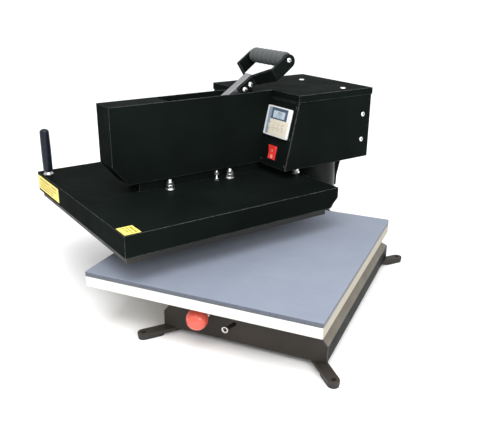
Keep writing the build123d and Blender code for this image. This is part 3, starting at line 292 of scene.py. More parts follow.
def board(name):
    """Fibre board: a white faced front edge and raw beige fibres on the sides, the beige toned darker as painted
    shade.
    """
    s = Shader(name)
    s.set(Specular_IOR_Level=0.3)
    side = s.nodes.new("ShaderNodeTexCoord").outputs["Normal"]
    split = s.nodes.new("ShaderNodeSeparateXYZ")
    s.links.new(side, split.inputs["Vector"])
    front = s.span(split.outputs["Y"], 1.0, 0.0, -0.8, -0.5)
    fibres = s.noise(1.0, 5.0, 0.7, s.stretched((260.0, 260.0, 1500.0)))
    # raw beige fibre on the sides, toned darker like a face out of the light: painted shade
    raw = s.ramp(fibres, (0.3, (0.27, 0.24, 0.185)), (0.68, (0.40, 0.365, 0.30)))
    faced = s.ramp(s.noise(30.0, 4.0), (0.3, (0.62, 0.62, 0.57)), (0.7, (0.70, 0.70, 0.66)))
    s.colour(s.mix(front, raw, faced))
    s.rough(s.span(fibres, 0.5, 0.72))
    s.bump(fibres, 0.00012, 0.3)
    return s.material


def foam(name):
    """Dark grey closed-cell foam rubber with small pores."""
    s = Shader(name)
    s.set(Specular_IOR_Level=0.25, Sheen_Weight=0.25, Sheen_Roughness=0.4)
    pores = s.cells(1500.0)
    s.colour(s.ramp(pores, (0.05, (0.03, 0.034, 0.034)), (0.45, (0.075, 0.082, 0.083))))
    s.rough(s.span(s.noise(120.0, 4.0), 0.75, 0.92))
    s.bump(pores, 0.0002, 0.5)
    return s.material


def plastic(name, colour, roughness, grain=600.0, gloss=0.5):
    """Moulded plastic: an even colour with a slight moulding grain."""
    s = Shader(name)
    s.set(Specular_IOR_Level=gloss)
    s.colour(s.ramp(s.noise(18.0, 3.0), (0.3, tinted(colour, 0.93)), (0.7, tinted(colour, 1.05))))
    s.rough(s.span(s.noise(70.0, 4.0, 0.6), roughness - 0.04, roughness + 0.06))
    s.bump(s.noise(grain, 2.0), 0.00002, 0.5)
    return s.material


def rubber(name):
    s = Shader(name)
    s.set(Specular_IOR_Level=0.35)
    s.colour(s.ramp(s.noise(60.0, 4.0), (0.3, (0.012, 0.012, 0.013)), (0.7, (0.028, 0.028, 0.03))))
    s.rough(s.span(s.noise(200.0, 3.0), 0.6, 0.8))
    s.bump(s.noise(1100.0, 3.0), 0.00006, 0.5)
    return s.material


def bronze(name):
    s = Shader(name)
    s.set(Metallic=1.0)
    s.colour(s.ramp(s.noise(40.0, 4.0), (0.3, (0.36, 0.22, 0.09)), (0.7, (0.55, 0.36, 0.16))))
    s.rough(s.span(s.noise(160.0, 3.0), 0.28, 0.42))
    s.bump(s.noise(1400.0, 2.0), 0.00002, 0.5)
    return s.material


def braid(name, colour):
    """Woven glass sleeve: crossed helical ribs from two slanted waves."""
    s = Shader(name)
    waves = []
    for tilt in (1.0, -1.0):
        node = s.nodes.new("ShaderNodeTexWave")
        node.inputs["Scale"].default_value = 260.0
        node.inputs["Distortion"].default_value = 0.6
        s.links.new(s.stretched((1.0, tilt, 0.8)), node.inputs["Vector"])
        waves.append(node.outputs["Fac"])
    weave = s.math("MULTIPLY", *waves)
    s.colour(s.ramp(weave, (0.05, tinted(colour, 0.55)), (0.6, colour)))
    s.rough(s.span(weave, 0.85, 0.7))
    s.bump(weave, 0.0003, 0.6)
    return s.material


def wool_felt(name):
    s = Shader(name)
    strands = s.noise(1.0, 6.0, 0.75, s.stretched((900.0, 900.0, 2600.0)))
    s.colour(s.ramp(strands, (0.3, (0.5, 0.44, 0.31)), (0.7, (0.75, 0.7, 0.57))))
    s.rough(s.span(strands, 0.85, 1.0))
    s.bump(strands, 0.0008, 0.7)
    return s.material


def display(name, colour, glow):
    """Backlit panel behind a clear window, with a faint pixel grid."""
    s = Shader(name)
    s.set(Coat_Weight=0.6, Coat_Roughness=0.08, Emission_Strength=glow)
    s.surface.inputs["Emission Color"].default_value = (*colour, 1.0)
    s.colour(s.ramp(s.cells(1300.0), (0.1, tinted(colour, 0.8)), (0.6, colour)))
    s.rough(s.span(s.noise(50.0), 0.2, 0.3))
    return s.material


def printed(name, colour, roughness=0.5):
    """Ink or label film: a thin printed layer with slight mottling."""
    s = Shader(name)
    s.set(Specular_IOR_Level=0.4)
    s.colour(s.ramp(s.noise(140.0, 3.0), (0.3, tinted(colour, 0.92)), (0.7, tinted(colour, 1.04))))
    s.rough(s.span(s.noise(90.0, 3.0), roughness - 0.05, roughness + 0.08))
    return s.material


# the black coat carries the painted edge highlight, with some paint rubbed through
BLACK_COAT = powder_coat("black_powder_coat", (0.0048, 0.0068, 0.0060), 0.5, 0.004, 0.7)
GLOSS_COAT = powder_coat("gloss_coat", (0.0052, 0.0060, 0.0057), 0.14, 0.10)
DUSTY_COAT = powder_coat("dusty_coat", (0.0048, 0.0058, 0.0054), 0.5, 0.05, 0.0, (0.17, 0.155, 0.13))
BASE_COAT = powder_coat("base_powder_coat", (0.036, 0.031, 0.027), 0.44, 0.14)
ZINC = zinc("zinc_plate", (0.86, 0.87, 0.88), 0.3)
# darker copy of the zinc for the lever bar: painted shade and painted dim reflections
SHADED_BAR_ZINC = zinc("bar_zinc_painted_shade", (0.30, 0.31, 0.325), 0.34)
STEEL = turned_steel("ground_steel", (0.5, 0.5, 0.5), 0.3)
SPRING_STEEL = turned_steel("spring_steel", (0.3, 0.3, 0.31), 0.38)
BRONZE = bronze("oiled_bronze")
SHADED_HEATER_COAT = coated_plate("heater_coat_painted_shade")
ELEMENT = turned_steel("element_tube", (0.22, 0.2, 0.19), 0.5)
WOOL = wool_felt("glass_wool")
BOARD = board("fibre_board")
SILICONE = silicone("silicone_sponge")
FOAM = foam("foam_rubber")
GLOSS_BLACK = plastic("gloss_black_plastic", (0.009, 0.012, 0.019), 0.24, gloss=0.2)
RED = plastic("gloss_red_plastic", (0.64, 0.095, 0.062), 0.2)
ROCKER_RED = plastic("rocker_red", (0.96, 0.055, 0.04), 0.25)
OFF_WHITE = plastic("off_white_plastic", (0.78, 0.79, 0.80), 0.42)
CREAM = plastic("cream_membrane", (0.74, 0.68, 0.55), 0.5, 1500.0)
RUBBER = rubber("black_rubber")
LEAD_SLEEVE = braid("glass_sleeve", (0.7, 0.67, 0.58))
DISPLAY = display("display_glass", (0.44, 0.53, 0.60), 0.2)
DARK_WINDOW = display("window_surround", (0.085, 0.115, 0.17), 0.0)
STRIP_BLUE = printed("printed_blue_grey", (0.26, 0.33, 0.43))
INK_GREY = printed("printed_grey", (0.30, 0.31, 0.33))
# dark print, also laid on screw heads as painted shade in their sockets
DARK_INK_AND_RECESS_SHADE = printed("printed_black_and_recess_shade", (0.02, 0.02, 0.02))
INK_WHITE = printed("printed_white", (0.85, 0.84, 0.80))
LABEL_YELLOW = printed("label_yellow", (0.84, 0.72, 0.16))
LABEL_INK = printed("label_ink", (0.36, 0.25, 0.03))

SLOT_MATERIALS = {
    "black_powder_coat": BLACK_COAT, "base_powder_coat": BASE_COAT, "zinc": ZINC,
    "ground_steel": STEEL, "spring_steel": SPRING_STEEL, "bronze": BRONZE,
    "plate_aluminium": SHADED_HEATER_COAT, "element_steel": ELEMENT, "wool": WOOL,
    "board_white": BOARD, "pad_silicone": SILICONE, "foam": FOAM,
    "black_plastic": GLOSS_BLACK, "red_plastic": RED, "white_plastic": OFF_WHITE,
    "key_plastic": CREAM, "display_glass": DARK_WINDOW, "black_rubber": RUBBER,
    "lead_sleeve": LEAD_SLEEVE,
}

# nodes whose coat differs from the rest of their slot; the lever bar's darker zinc is painted shade
NODE_MATERIALS = {"head_sleeve": GLOSS_COAT, "column_collar": GLOSS_COAT, "base_housing": DUSTY_COAT,
                  "lever_bar": SHADED_BAR_ZINC, "rocker": ROCKER_RED}

# ---- carried CAD nodes -------------------------------------------
# width of the worn or rolled edge that each bent or cut piece shows, in mm
EDGE_MM = {
    "heater_cover": 1.6, "arm_channel": 1.4, "head_lid": 0.7, "head_housing": 0.8,
    "control_panel": 0.7, "controller_body": 0.7, "controller_display": 0.2,
    "switch_frame": 0.4, "base_housing": 1.2, "base_front_plate": 0.8, "foot_bars": 0.8,
    "platen_board": 0.6, "platen_rails": 0.5, "spine_beam": 0.6, "cross_members": 0.6,
    "press_flange": 0.7, "press_bar": 0.6, "press_clevis": 0.6, "heater_plate": 1.2,
    "lever_bar": 1.2, "handle_plate_near": 0.8, "handle_plate_far": 0.8, "column_post": 0.8,
    "column_collar": 1.0, "head_sleeve": 1.0, "guide_blocks": 0.6, "toggle_link": 0.6,
    "lock_housing": 0.5, "lock_lug": 0.5, "mains_inlet": 0.6, "rocker": 0.7,
    "foot_pads": 0.6, "retaining_cap": 0.8, "housing_grommet": 0.4, "lead_gland": 0.5,
    "key_mode": 0.3, "key_down": 0.3, "key_up": 0.3, "key_start": 0.3,
}
SHARP_ANGLE = radians(28)
FLAT_NODES = ("base_front_plate", "base_housing", "heater_cover", "arm_channel", "head_housing",
              "control_panel", "controller_body", "platen_board", "handle_plate_near",
              "handle_plate_far", "heater_plate", "foot_bars", "lever_bar")


def finish_cad_nodes():
    """Gives every carried CAD node its material, and rolls the edges that catch the light."""
    slots = {part["node"]: part["material_slot"] for part in frame["record"]["subparts"]}
    for name, node in frame["nodes"].items():
        material = NODE_MATERIALS.get(name, SLOT_MATERIALS[slots[name]])
        if not node.material_slots:
            node.data.materials.append(material)
        for material_slot in node.material_slots:
            material_slot.material = material
        if name in EDGE_MM:
            weld = node.modifiers.new("weld", "WELD")
            weld.merge_threshold = 0.00001
            if name in FLAT_NODES:
                flatten = node.modifiers.new("flat_faces", "DECIMATE")
                flatten.decimate_type = "DISSOLVE"
                flatten.angle_limit = radians(0.5)
            bevel = node.modifiers.new("edges", "BEVEL")
            bevel.width = EDGE_MM[name] * MM
            bevel.segments = 2
            bevel.limit_method = "ANGLE"
            bevel.angle_limit = SHARP_ANGLE
            bevel.use_clamp_overlap = True
            normals = node.modifiers.new("normals", "WEIGHTED_NORMAL")
            normals.keep_sharp = False


# ---- mesh helpers ------------------------------------------------
def new_piece(name, mesh_maker, material, body, matrix=None, smooth=True):
    """Makes a piece from a bmesh filled by mesh_maker, in place, and lets it ride on a body."""
    bm = bmesh.new()
    mesh_maker(bm)
    bmesh.ops.remove_doubles(bm, verts=bm.verts, dist=1e-7)
    bmesh.ops.recalc_face_normals(bm, faces=bm.faces)
    if matrix is not None:
        bm.transform(matrix)
    for face in bm.faces:
        face.smooth = smooth
    mesh = bpy.data.meshes.new(name)
    bm.to_mesh(mesh)
    bm.free()
    piece = bpy.data.objects.new(name, mesh)
    bpy.context.scene.collection.objects.link(piece)
    mesh.materials.append(material)
    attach(piece, body)
    return piece


def lathe(profile, steps=64):
    """Mesh maker: turns (radius, height) points about Z; a radius of 0 closes that end."""
    def make(bm):
        rings = []
        for radius, height in profile:
            if radius < 1e-7:
                rings.append([bm.verts.new((0, 0, height))])
            else:
                rings.append([bm.verts.new((radius * cos(2 * pi * i / steps),
                                            radius * sin(2 * pi * i / steps), height))
                              for i in range(steps)])
        for low, high in zip(rings, rings[1:]):
            for i in range(steps):
                j = (i + 1) % steps
                corners = [low[i % len(low)], low[j % len(low)],
                           high[j % len(high)], high[i % len(high)]]
                unique = list(dict.fromkeys(corners))
                if len(unique) > 2:
                    bm.faces.new(unique)
    return make


def slab(outline, thickness):
    """Mesh maker: a flat piece of any outline in X and Y, standing on Z = 0."""
    def make(bm):
        base = [bm.verts.new((x, y, 0)) for x, y in outline]
        face = bm.faces.new(base)
        grown = bmesh.ops.extrude_face_region(bm, geom=[face])["geom"]
        moved = [item for item in grown if isinstance(item, bmesh.types.BMVert)]
        bmesh.ops.translate(bm, verts=moved, vec=(0, 0, thickness))
    return make


def rounded_rectangle(width, height, radius, centre=(0, 0), steps=6):
    """Outline of a rectangle with round corners."""
    points = []
    for quarter, (side_x, side_y) in enumerate(((1, 1), (-1, 1), (-1, -1), (1, -1))):
        for i in range(steps + 1):
            angle = (quarter + i / steps) * pi / 2
            points.append((centre[0] + side_x * (width / 2 - radius) + radius * cos(angle),
                           centre[1] + side_y * (height / 2 - radius) + radius * sin(angle)))
    return points


def together(*makers):
    """Mesh maker: several makers, each with a matrix, in one mesh."""
    def make(bm):
        for maker, matrix in makers:
            before = set(bm.verts)
            maker(bm)
            bmesh.ops.transform(bm, matrix=matrix, verts=[v for v in bm.verts if v not in before])
    return make


def hex_head(across_corners, height, chamfer=0.94, steps=72):
    """Mesh maker: a hexagon head or nut with the arcs that its turned chamfer leaves."""
    apothem = across_corners * cos(pi / 6)
    flat_radius = apothem * chamfer

    def make(bm):
        low, edge, top = [], [], []
        for i in range(steps):
            angle = 2 * pi * i / steps
            reach = apothem / cos((angle % (pi / 3)) - pi / 6)
            drop = (reach - flat_radius) * tan(radians(30))
            direction = Vector((cos(angle), sin(angle), 0))
            low.append(bm.verts.new(direction * reach))
            edge.append(bm.verts.new(direction * reach + UP * (height - drop)))
            top.append(bm.verts.new(direction * flat_radius + UP * height))
        for i in range(steps):
            j = (i + 1) % steps
            bm.faces.new((low[i], low[j], edge[j], edge[i]))
            bm.faces.new((edge[i], edge[j], top[j], top[i]))
        bm.faces.new(top)
        bm.faces.new(low[::-1])
    return make


def dome(radius, height, steps=40, rings=6):
    """Mesh maker: a shallow domed head standing on Z = 0."""
    rim = height * 0.25
    profile = [(0, 0), (radius, 0), (radius, rim)]
    for i in range(1, rings + 1):
        angle = i / rings * pi / 2
        profile.append((radius * cos(angle), rim + (height - rim) * sin(angle)))
    return lathe(profile, steps)


# ---- lower platen pad --------------------------------------------
PAD_ROUND = 1.8 * MM
PAD_CELLS = 90


def silicone_pad():
    """Moulded sponge pad: rounded upper edges, a slight sag and swell over its face."""
    low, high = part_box("silicone_pad")
    height = high.z - low.z

    def wave(x, y):
        broad = sin(x * 17.0 + 0.6) * cos(y * 13.0 - 0.4)
        fine = sin(x * 61.0 + y * 23.0) * 0.35
        return (broad + fine) * 0.10 * MM

    def make(bm):
        outline = rounded_rectangle(high.x - low.x, high.y - low.y, 3.0 * MM, steps=5)
        centre = Vector(((low.x + high.x) / 2, (low.y + high.y) / 2, 0))
        levels = [(0.0, 0.0), (0.0, height - PAD_ROUND)]
        for i in range(1, 5):
            angle = i / 4 * pi / 2
            levels.append((PAD_ROUND * (1 - cos(angle)), height - PAD_ROUND * (1 - sin(angle))))
        rings = []
        half_x = (high.x - low.x) / 2
        half_y = (high.y - low.y) / 2
        for inset, z in levels:
            shrink_x = (half_x - inset) / half_x
            shrink_y = (half_y - inset) / half_y
            rings.append([bm.verts.new(centre + Vector((x * shrink_x, y * shrink_y, low.z + z)))
                          for x, y in outline])
        count = len(outline)
        for below, above in zip(rings, rings[1:]):
            for i in range(count):
                bm.faces.new((below[i], below[(i + 1) % count], above[(i + 1) % count], above[i]))
        bm.faces.new(rings[0][::-1])
        bm.faces.new(rings[-1])
        for i in range(1, PAD_CELLS):
            for along, half, middle in (("x", half_x, centre.x), ("y", half_y, centre.y)):
                place = middle - half + 2 * half * i / PAD_CELLS
                cut_at = Vector((place, 0, 0)) if along == "x" else Vector((0, place, 0))
                normal = Vector((1, 0, 0)) if along == "x" else Vector((0, 1, 0))
                flat = [f for f in bm.faces if f.calc_center_median().z > low.z + height - 1e-6]
                edges = {e for f in flat for e in f.edges}
                verts = {v for f in flat for v in f.verts}
                bmesh.ops.bisect_plane(bm, geom=[*flat, *edges, *verts],
                                       plane_co=cut_at, plane_no=normal)
        for vert in bm.verts:
            if vert.co.z > low.z + height - 1e-6:
                vert.co.z -= 0.12 * MM + wave(vert.co.x, vert.co.y)

    pad = new_piece("silicone_pad_face", make, SILICONE, "base")
    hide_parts("silicone_pad")


# ---- lever grip and handles --------------------------------------
LEVER_PIVOT = Vector(JOINTS["lever_pull"]["pos_m"])


def node_centre(name):
    low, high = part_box(name)
    return (low + high) / 2


GRIP_CENTRE = node_centre("foam_grip")
LEVER_S = (GRIP_CENTRE - LEVER_PIVOT).normalized()
GRIP_HALF = 59.0 * MM
GRIP_R = 17.0 * MM
GRIP_BORE = 9.6 * MM
GRIP_RIBS = 7


def foam_grip():
    """Foam sleeve with soft swelling ribs between its grooves, and rounded ends."""
    profile = [(GRIP_BORE, -GRIP_HALF), (GRIP_R - 3.0 * MM, -GRIP_HALF)]
    pitch = 2 * GRIP_HALF / GRIP_RIBS
    steps = 12
    for rib in range(GRIP_RIBS):
        start = -GRIP_HALF + rib * pitch
        for i in range(steps + 1):
            t = i / steps
            swell = sin(pi * t) ** 0.55 if 0 < t < 1 else 0.0
            profile.append((GRIP_R - 2.4 * MM + 2.3 * MM * swell, start + pitch * t))
    profile += [(GRIP_R - 3.0 * MM, GRIP_HALF), (GRIP_BORE, GRIP_HALF), (GRIP_BORE, -GRIP_HALF)]
    grip = new_piece("foam_grip_sleeve", lathe(profile, 72), FOAM, "lever",
                     placement(GRIP_CENTRE, LEVER_S, Q_DIR))
    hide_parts("foam_grip")


def stick_handle():
    """Upright pull handle: moulded grip with a slight swell and a domed end, on a steel ferrule."""
    low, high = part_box("stick_handle")
    centre = (low + high) / 2
    height = high.z - low.z
    radius = (high.x - low.x) / 2
    ferrule_h = 9 * MM
    body_h = height - ferrule_h
    profile = [(0, ferrule_h), (radius * 0.86, ferrule_h), (radius * 0.92, ferrule_h + 1.2 * MM)]
    steps = 14
    for i in range(steps + 1):
        t = i / steps
        swell = 0.93 + 0.065 * sin(pi * (0.15 + 0.75 * t))
        profile.append((radius * swell, ferrule_h + 2 * MM + (body_h - 9 * MM) * t))
    end = profile[-1]
    for i in range(1, 8):
        angle = i / 7 * pi / 2
        profile.append((end[0] * cos(angle), end[1] + (height - end[1]) * sin(angle)))
    at = Matrix.Translation((centre.x, centre.y, low.z))
    grip = new_piece("stick_grip", lathe(profile), GLOSS_BLACK, "upper_platen", at)
    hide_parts("stick_handle")
    ferrule = [(0, 0), (radius * 0.95, 0), (radius, 1.0 * MM), (radius, 3 * MM),
               (radius * 0.8, 4 * MM), (radius * 0.74, ferrule_h), (0, ferrule_h)]
    ring = new_piece("stick_ferrule", lathe(ferrule), STEEL, "upper_platen", at)


def ball_knob():
    """Glossy ball with a faint moulding line."""
    centre = node_centre("ball_knob")
    radius = (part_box("ball_knob")[1].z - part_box("ball_knob")[0].z) / 2
    profile = []
    steps = 40
    for i in range(steps + 1):
        angle = -pi / 2 + pi * i / steps
        groove = 0.12 * MM if i == steps // 2 else 0.0
        profile.append((max((radius - groove) * cos(angle), 0.0), (radius - groove) * sin(angle)))
    profile[0] = (0.0, -radius)
    profile[-1] = (0.0, radius)
    ball = new_piece("ball_knob_turned", lathe(profile, 72), RED, "lock_knob",
                     placement(centre, Vector((1, 0, 0)), Vector((0, 1, 0))))
    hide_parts("ball_knob")


# ---- fasteners ---------------------------------------------------
STUD_Q = 45
STUD_FWDS = (265, 412)
EARTH_FWD = 299


def thread(radius, length, pitch):
    """Profile of a threaded stud, for lathe."""
    points = [(0, 0)]
    for i in range(int(length / pitch)):
        points += [(radius - pitch * 0.45, i * pitch), (radius, (i + 0.5) * pitch)]
    return points + [(radius - pitch * 0.7, length), (0, length)]


# size, height and place up the stud of each stud's nut and lock nut
STUD_NUTS = ((8.5 * MM, 8.0 * MM, 2 * MM), (7.4 * MM, 5.4 * MM, 10 * MM))


def stud_nuts():
    """Threaded studs with washers and chamfered nuts on the cover, and a slim earth stud."""
    cover_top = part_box("heater_cover")[1].z
    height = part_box("platen_studs")[1].z - cover_top
    washer = [(0, 0), (10.2 * MM, 0), (10.2 * MM, 1.6 * MM), (9.8 * MM, 2.0 * MM), (0, 2.0 * MM)]
    makers = []
    for q in (-STUD_Q, STUD_Q):
        for fwd in STUD_FWDS:
            place = Matrix.Translation(head_point(q, fwd, cover_top / MM))
            turn = Matrix.Rotation(radians(q + fwd), 4, "Z")
            makers.append((lathe(thread(4.1 * MM, height, 1.25 * MM), 32), place))
            makers.append((lathe(washer, 40), place))
            for nut_size, nut_tall, nut_rise in STUD_NUTS:
                nut_at = place @ Matrix.Translation((0, 0, nut_rise)) @ turn
                makers.append((hex_head(nut_size, nut_tall), nut_at))
    place = Matrix.Translation(head_point(STUD_Q, EARTH_FWD, cover_top / MM))
    makers.append((lathe(thread(2.4 * MM, height, 0.8 * MM), 28), place))
    makers.append((hex_head(5.4 * MM, 3.8 * MM), place))
    makers.append((hex_head(4.9 * MM, 4.8 * MM), place @ Matrix.Translation((0, 0, height - 7 * MM))))
    nuts = new_piece("platen_stud_nuts", together(*makers), ZINC, "upper_platen", smooth=False)
    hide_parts("platen_studs")


PLATE_FACE = 15.6
END_FACE = 66.6


def lever_bolts():
    """Button-head screws: two through the bar's plates and one in each end of the grip, each with a dark hex sheet
    on top as painted shade of its socket.
    """
    lever_n = Q_DIR.cross(LEVER_S)
    makers = []
    recess_shades = []
    for s, n, face, radius in ((105.5, -9.5, PLATE_FACE, 6.7), (124, -9.5, PLATE_FACE, 6.7),
                               (206, 0, END_FACE, 5.7)):
        for side in (1, -1):
            origin = LEVER_PIVOT + LEVER_S * (s * MM) + lever_n * (n * MM) + Q_DIR * (face * side * MM)
            place = placement(origin, LEVER_S, Q_DIR * side)
            makers.append((dome(radius * MM, 3.7 * MM), place))
            # dark hex sheet on the head: painted shade of the socket
            recess = [(radius * 0.42 * MM * cos(pi * k / 3), radius * 0.42 * MM * sin(pi * k / 3))
                      for k in range(6)]
            recess_shades.append((slab(recess, 0.3 * MM), place @ Matrix.Translation((0, 0, 3.5 * MM))))
    bolts = new_piece("lever_button_screws", together(*makers), ZINC, "lever")
    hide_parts("lever_bolts")
    socket_shades = new_piece("lever_screw_socket_shades", together(*recess_shades), DARK_INK_AND_RECESS_SHADE, "lever", smooth=False)


SPRING_TURNS = 6
SPRING_WIRE = 1.4 * MM
SPRING_R = 11.5 * MM
COIL_STEPS = 28
WIRE_STEPS = 10
SPRING_FWDS = (180, 455)


def spring_coil(height):
    """Maker of one coil with closed end turns, from its lower end up."""
    def make(bm):
        steps = SPRING_TURNS * COIL_STEPS
        rings = []
        for i in range(steps + 1):
            share = i / steps
            turns = share * SPRING_TURNS
            rise = min(max((turns - 0.7) / (SPRING_TURNS - 1.4), 0.0), 1.0)
            z = SPRING_WIRE + rise * (height - 2 * SPRING_WIRE)
            angle = 2 * pi * turns
            ring = []
            for k in range(WIRE_STEPS):
                around = 2 * pi * k / WIRE_STEPS
                r = SPRING_R + SPRING_WIRE * cos(around)
                wire_z = z + SPRING_WIRE * sin(around)
                ring.append(bm.verts.new((r * cos(angle), r * sin(angle), wire_z)))
            rings.append(ring)
        for low, high in zip(rings, rings[1:]):
            for k in range(WIRE_STEPS):
                after = (k + 1) % WIRE_STEPS
                bm.faces.new((low[k], high[k], high[after], low[after]))
        bm.faces.new(rings[0])
        bm.faces.new(rings[-1][::-1])
    return make


def return_springs():
    """Coils round the guide rods, riding with the head at one fixed length."""
    low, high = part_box("return_springs")
    height = high.z - low.z
    makers = []
    for fwd in SPRING_FWDS:
        centre = head_point(0, fwd, 0)
        makers.append((spring_coil(height), Matrix.Translation((centre.x, centre.y, low.z))))
    coils = new_piece("return_spring_coils", together(*makers), SPRING_STEEL, "head")
    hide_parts("return_springs")
    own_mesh(coils)


LID_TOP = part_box("head_lid")[1].z
HOUSING_NEAR = 125.5
HOUSING_FAR = -120.5


def slot_screw():
    """Socket screw beside the lock: a rolled rim round a recess, with a dark hex sheet at its floor as painted
    shade of the socket.
    """
    low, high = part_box("slot_screw")
    centre = (low + high) / 2
    front = low.y
    rim = [(0, 0), (6.4 * MM, 0), (6.4 * MM, 2.6 * MM), (5.9 * MM, 3.3 * MM), (4.6 * MM, 3.3 * MM),
           (4.2 * MM, 2.7 * MM), (4.2 * MM, 1.2 * MM), (0, 1.2 * MM)]
    at = placement(Vector((centre.x, front + 3.5 * MM, centre.z)),
                   Vector((1, 0, 0)), Vector((0, -1, 0)))
    head = new_piece("slot_screw_head", lathe(rim, 48), ZINC, "base", at)
    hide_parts("slot_screw")
    # dark hex sheet at the recess floor: painted shade of the socket
    socket = [(4.1 * MM * cos(pi * k / 3), 4.1 * MM * sin(pi * k / 3)) for k in range(6)]
    dark = new_piece("slot_screw_socket_shade", slab(socket, 0.3 * MM), DARK_INK_AND_RECESS_SHADE, "base",
                     at @ Matrix.Translation((0, 0, 1.2 * MM)), smooth=False)


def housing_screws():
    """Domed screws of the lid, the housing's sides and the sloped panel; those of the lid and sides carry a dark
    cross on top as painted shade of their cross recess.
    """
    places = []
    for q in (-42, 103):
        places.append((placement(head_point(q, 0, LID_TOP / MM), Q_DIR, UP), 6.5, 3.4))
    for z in (278, 336):
        places.append((placement(head_point(HOUSING_NEAR, -45, z), UP, Q_DIR), 5.5, 2.9))
        places.append((placement(head_point(HOUSING_FAR, -45, z), UP, -Q_DIR), 5.5, 2.9))
    makers = []
    recess_shades = []
    for place, radius, height in places:
        makers.append((dome(radius * MM, height * MM), place))
        # dark cross on the dome: painted shade of a cross recess
        for turn in (0, pi / 2):
            bar = slab(rounded_rectangle(radius * 1.0 * MM, 1.3 * MM, 0.4 * MM, steps=2), 0.25 * MM)
            lift = Matrix.Translation((0, 0, (height - 0.2) * MM)) @ Matrix.Rotation(turn + 0.4, 4, "Z")
            recess_shades.append((bar, place @ lift))
    heads = new_piece("housing_dome_screws", together(*makers), ZINC, "head")
    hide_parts("housing_screws")
    marks = new_piece("housing_screw_recess_shades", together(*recess_shades), DARK_INK_AND_RECESS_SHADE, "head", smooth=False)
    small = []
    low_screw = 235.0
    for q, v in ((119, 68), (119, 137), (36, 9), (119, 9)):
        origin = head_point(q, 176.0, low_screw) + PANEL_UP * (v * MM) + PANEL_NORMAL * (2 * MM)
        small.append((dome(3.0 * MM, 1.5 * MM, 24, 4), placement(origin, Q_DIR, PANEL_NORMAL)))
    dark = new_piece("panel_dome_screws", together(*small), BLACK_COAT, "head")


# ---- control unit ------------------------------------------------
CONTROL_ORIGIN = head_point(72.5, 176, 235) + PANEL_UP * (98 * MM) + PANEL_NORMAL * (7.0 * MM)
KEY_SHIFTS = (-22.5, -7.5, 7.5, 22.5)
KEY_V = -10


def on_panel(q, v, out=0.0):
    """Matrix on the control unit's front face, q across and v up from the display's middle, in mm."""
    origin = CONTROL_ORIGIN + Q_DIR * (q * MM) + PANEL_UP * (v * MM) + PANEL_NORMAL * (out * MM)
    return placement(origin, Q_DIR, PANEL_NORMAL)


def sticker(name, pieces, material, body="head"):
    """Thin films on the control unit: each is a width, a height, a radius and a place, in mm."""
    makers = []
    for width, height, radius, q, v, out, thick in pieces:
        outline = rounded_rectangle(width * MM, height * MM, radius * MM, steps=3)
        makers.append((slab(outline, thick * MM), on_panel(q, v, out)))
    film = new_piece(name, together(*makers), material, body, smooth=False)


def control_details():
    """Printed strips, lit window, keypad film and key marks of the control unit."""
    sticker("controller_strip", [(9.5, 58, 1, -29.4, 0, 0, 0.25)], STRIP_BLUE)
    sticker("controller_window", [(40, 15.5, 1.0, 2, 15.6, -0.09, 0.04)], DISPLAY)
    film = [(63, 9.6, 0.6, 6.2, -0.8, 0, 0.3), (63, 14.6, 0.6, 6.2, -21.9, 0, 0.3)]
    edges = [-25.3]
    for shift in KEY_SHIFTS:
        edges += [shift - 5.0, shift + 5.0]
    edges.append(37.7)
    for start, end in zip(edges[::2], edges[1::2]):
        if end - start > 0.5:
            film.append((end - start, 8.9, 0.2, (start + end) / 2, KEY_V, 0, 0.3))
    sticker("controller_keypad_film", film, CREAM)
    keypad_marks()


def keypad_marks():
    """Small generic marks: a symbol on each key, and short lines of print above and below."""
    key_out = 1.0
    ring = rounded_rectangle(3.0 * MM, 3.0 * MM, 1.49 * MM)
    up = [(-1.7 * MM, -1.2 * MM), (1.7 * MM, -1.2 * MM), (0, 1.6 * MM)]
    down = [(-1.7 * MM, 1.2 * MM), (0, -1.6 * MM), (1.7 * MM, 1.2 * MM)]
    bar = rounded_rectangle(3.2 * MM, 1.1 * MM, 0.3 * MM)
    for body, q, outline in zip(("mode_key", "down_key", "up_key", "start_key"), KEY_SHIFTS,
                                (bar, down, up, ring)):
        mark = new_piece(body + "_mark", slab(outline, 0.08 * MM), INK_GREY, body,
                         on_panel(q, KEY_V, key_out), smooth=False)
    lines = []
    for row, v in enumerate((-3.4, -19.0)):
        for i, q in enumerate(KEY_SHIFTS):
            lines.append(((6.5, 4.5, 5.5, 7.0)[(i + row) % 4], 1.0, 0.3, q, v, 0.3, 0.08))
    sticker("controller_print", lines, INK_GREY)


SEGMENTS = {"0": "abcdef", "1": "bc", "6": "acdefg", "8": "abcdefg"}
SEGMENT_PLACES = {"a": (0, 1, 0), "b": (1, 0.5, 1), "c": (1, -0.5, 1), "d": (0, -1, 0),
                  "e": (-1, -0.5, 1), "f": (-1, 0.5, 1), "g": (0, 0, 0)}


def display_digits():
    """Seven-segment figures on the lit window, with a smaller row below."""
    makers = []
    rows = (("180", 6.0, 4.0, 18.2, 0.9), ("0160", 3.6, 2.4, 11.2, 0.6))
    display_out = -0.05
    for text, height, width, v, bar in rows:
        pitch = width + 2.6
        start = 2 - pitch * (len(text) - 1) / 2
        for i, digit in enumerate(text):
            for segment in SEGMENTS[digit]:
                dx, dy, upright = SEGMENT_PLACES[segment]
                long_side = height / 2 - 0.3 if upright else width - 0.6
                size = (bar, long_side) if upright else (long_side, bar)
                outline = rounded_rectangle(size[0] * MM, size[1] * MM, bar * 0.3 * MM, steps=2)
                place = on_panel(start + pitch * i + dx * width / 2, v + dy * height / 2, display_out)
                makers.append((slab(outline, 0.06 * MM), place))
    digits = new_piece("display_digits", together(*makers), DARK_INK_AND_RECESS_SHADE, "head", smooth=False)


ROCKER_PIVOT = Vector(JOINTS["power_rock"]["pos_m"])
ROCKER_TILT = radians(9)


ROCKER_SLOPE = 2.0 / 15.0


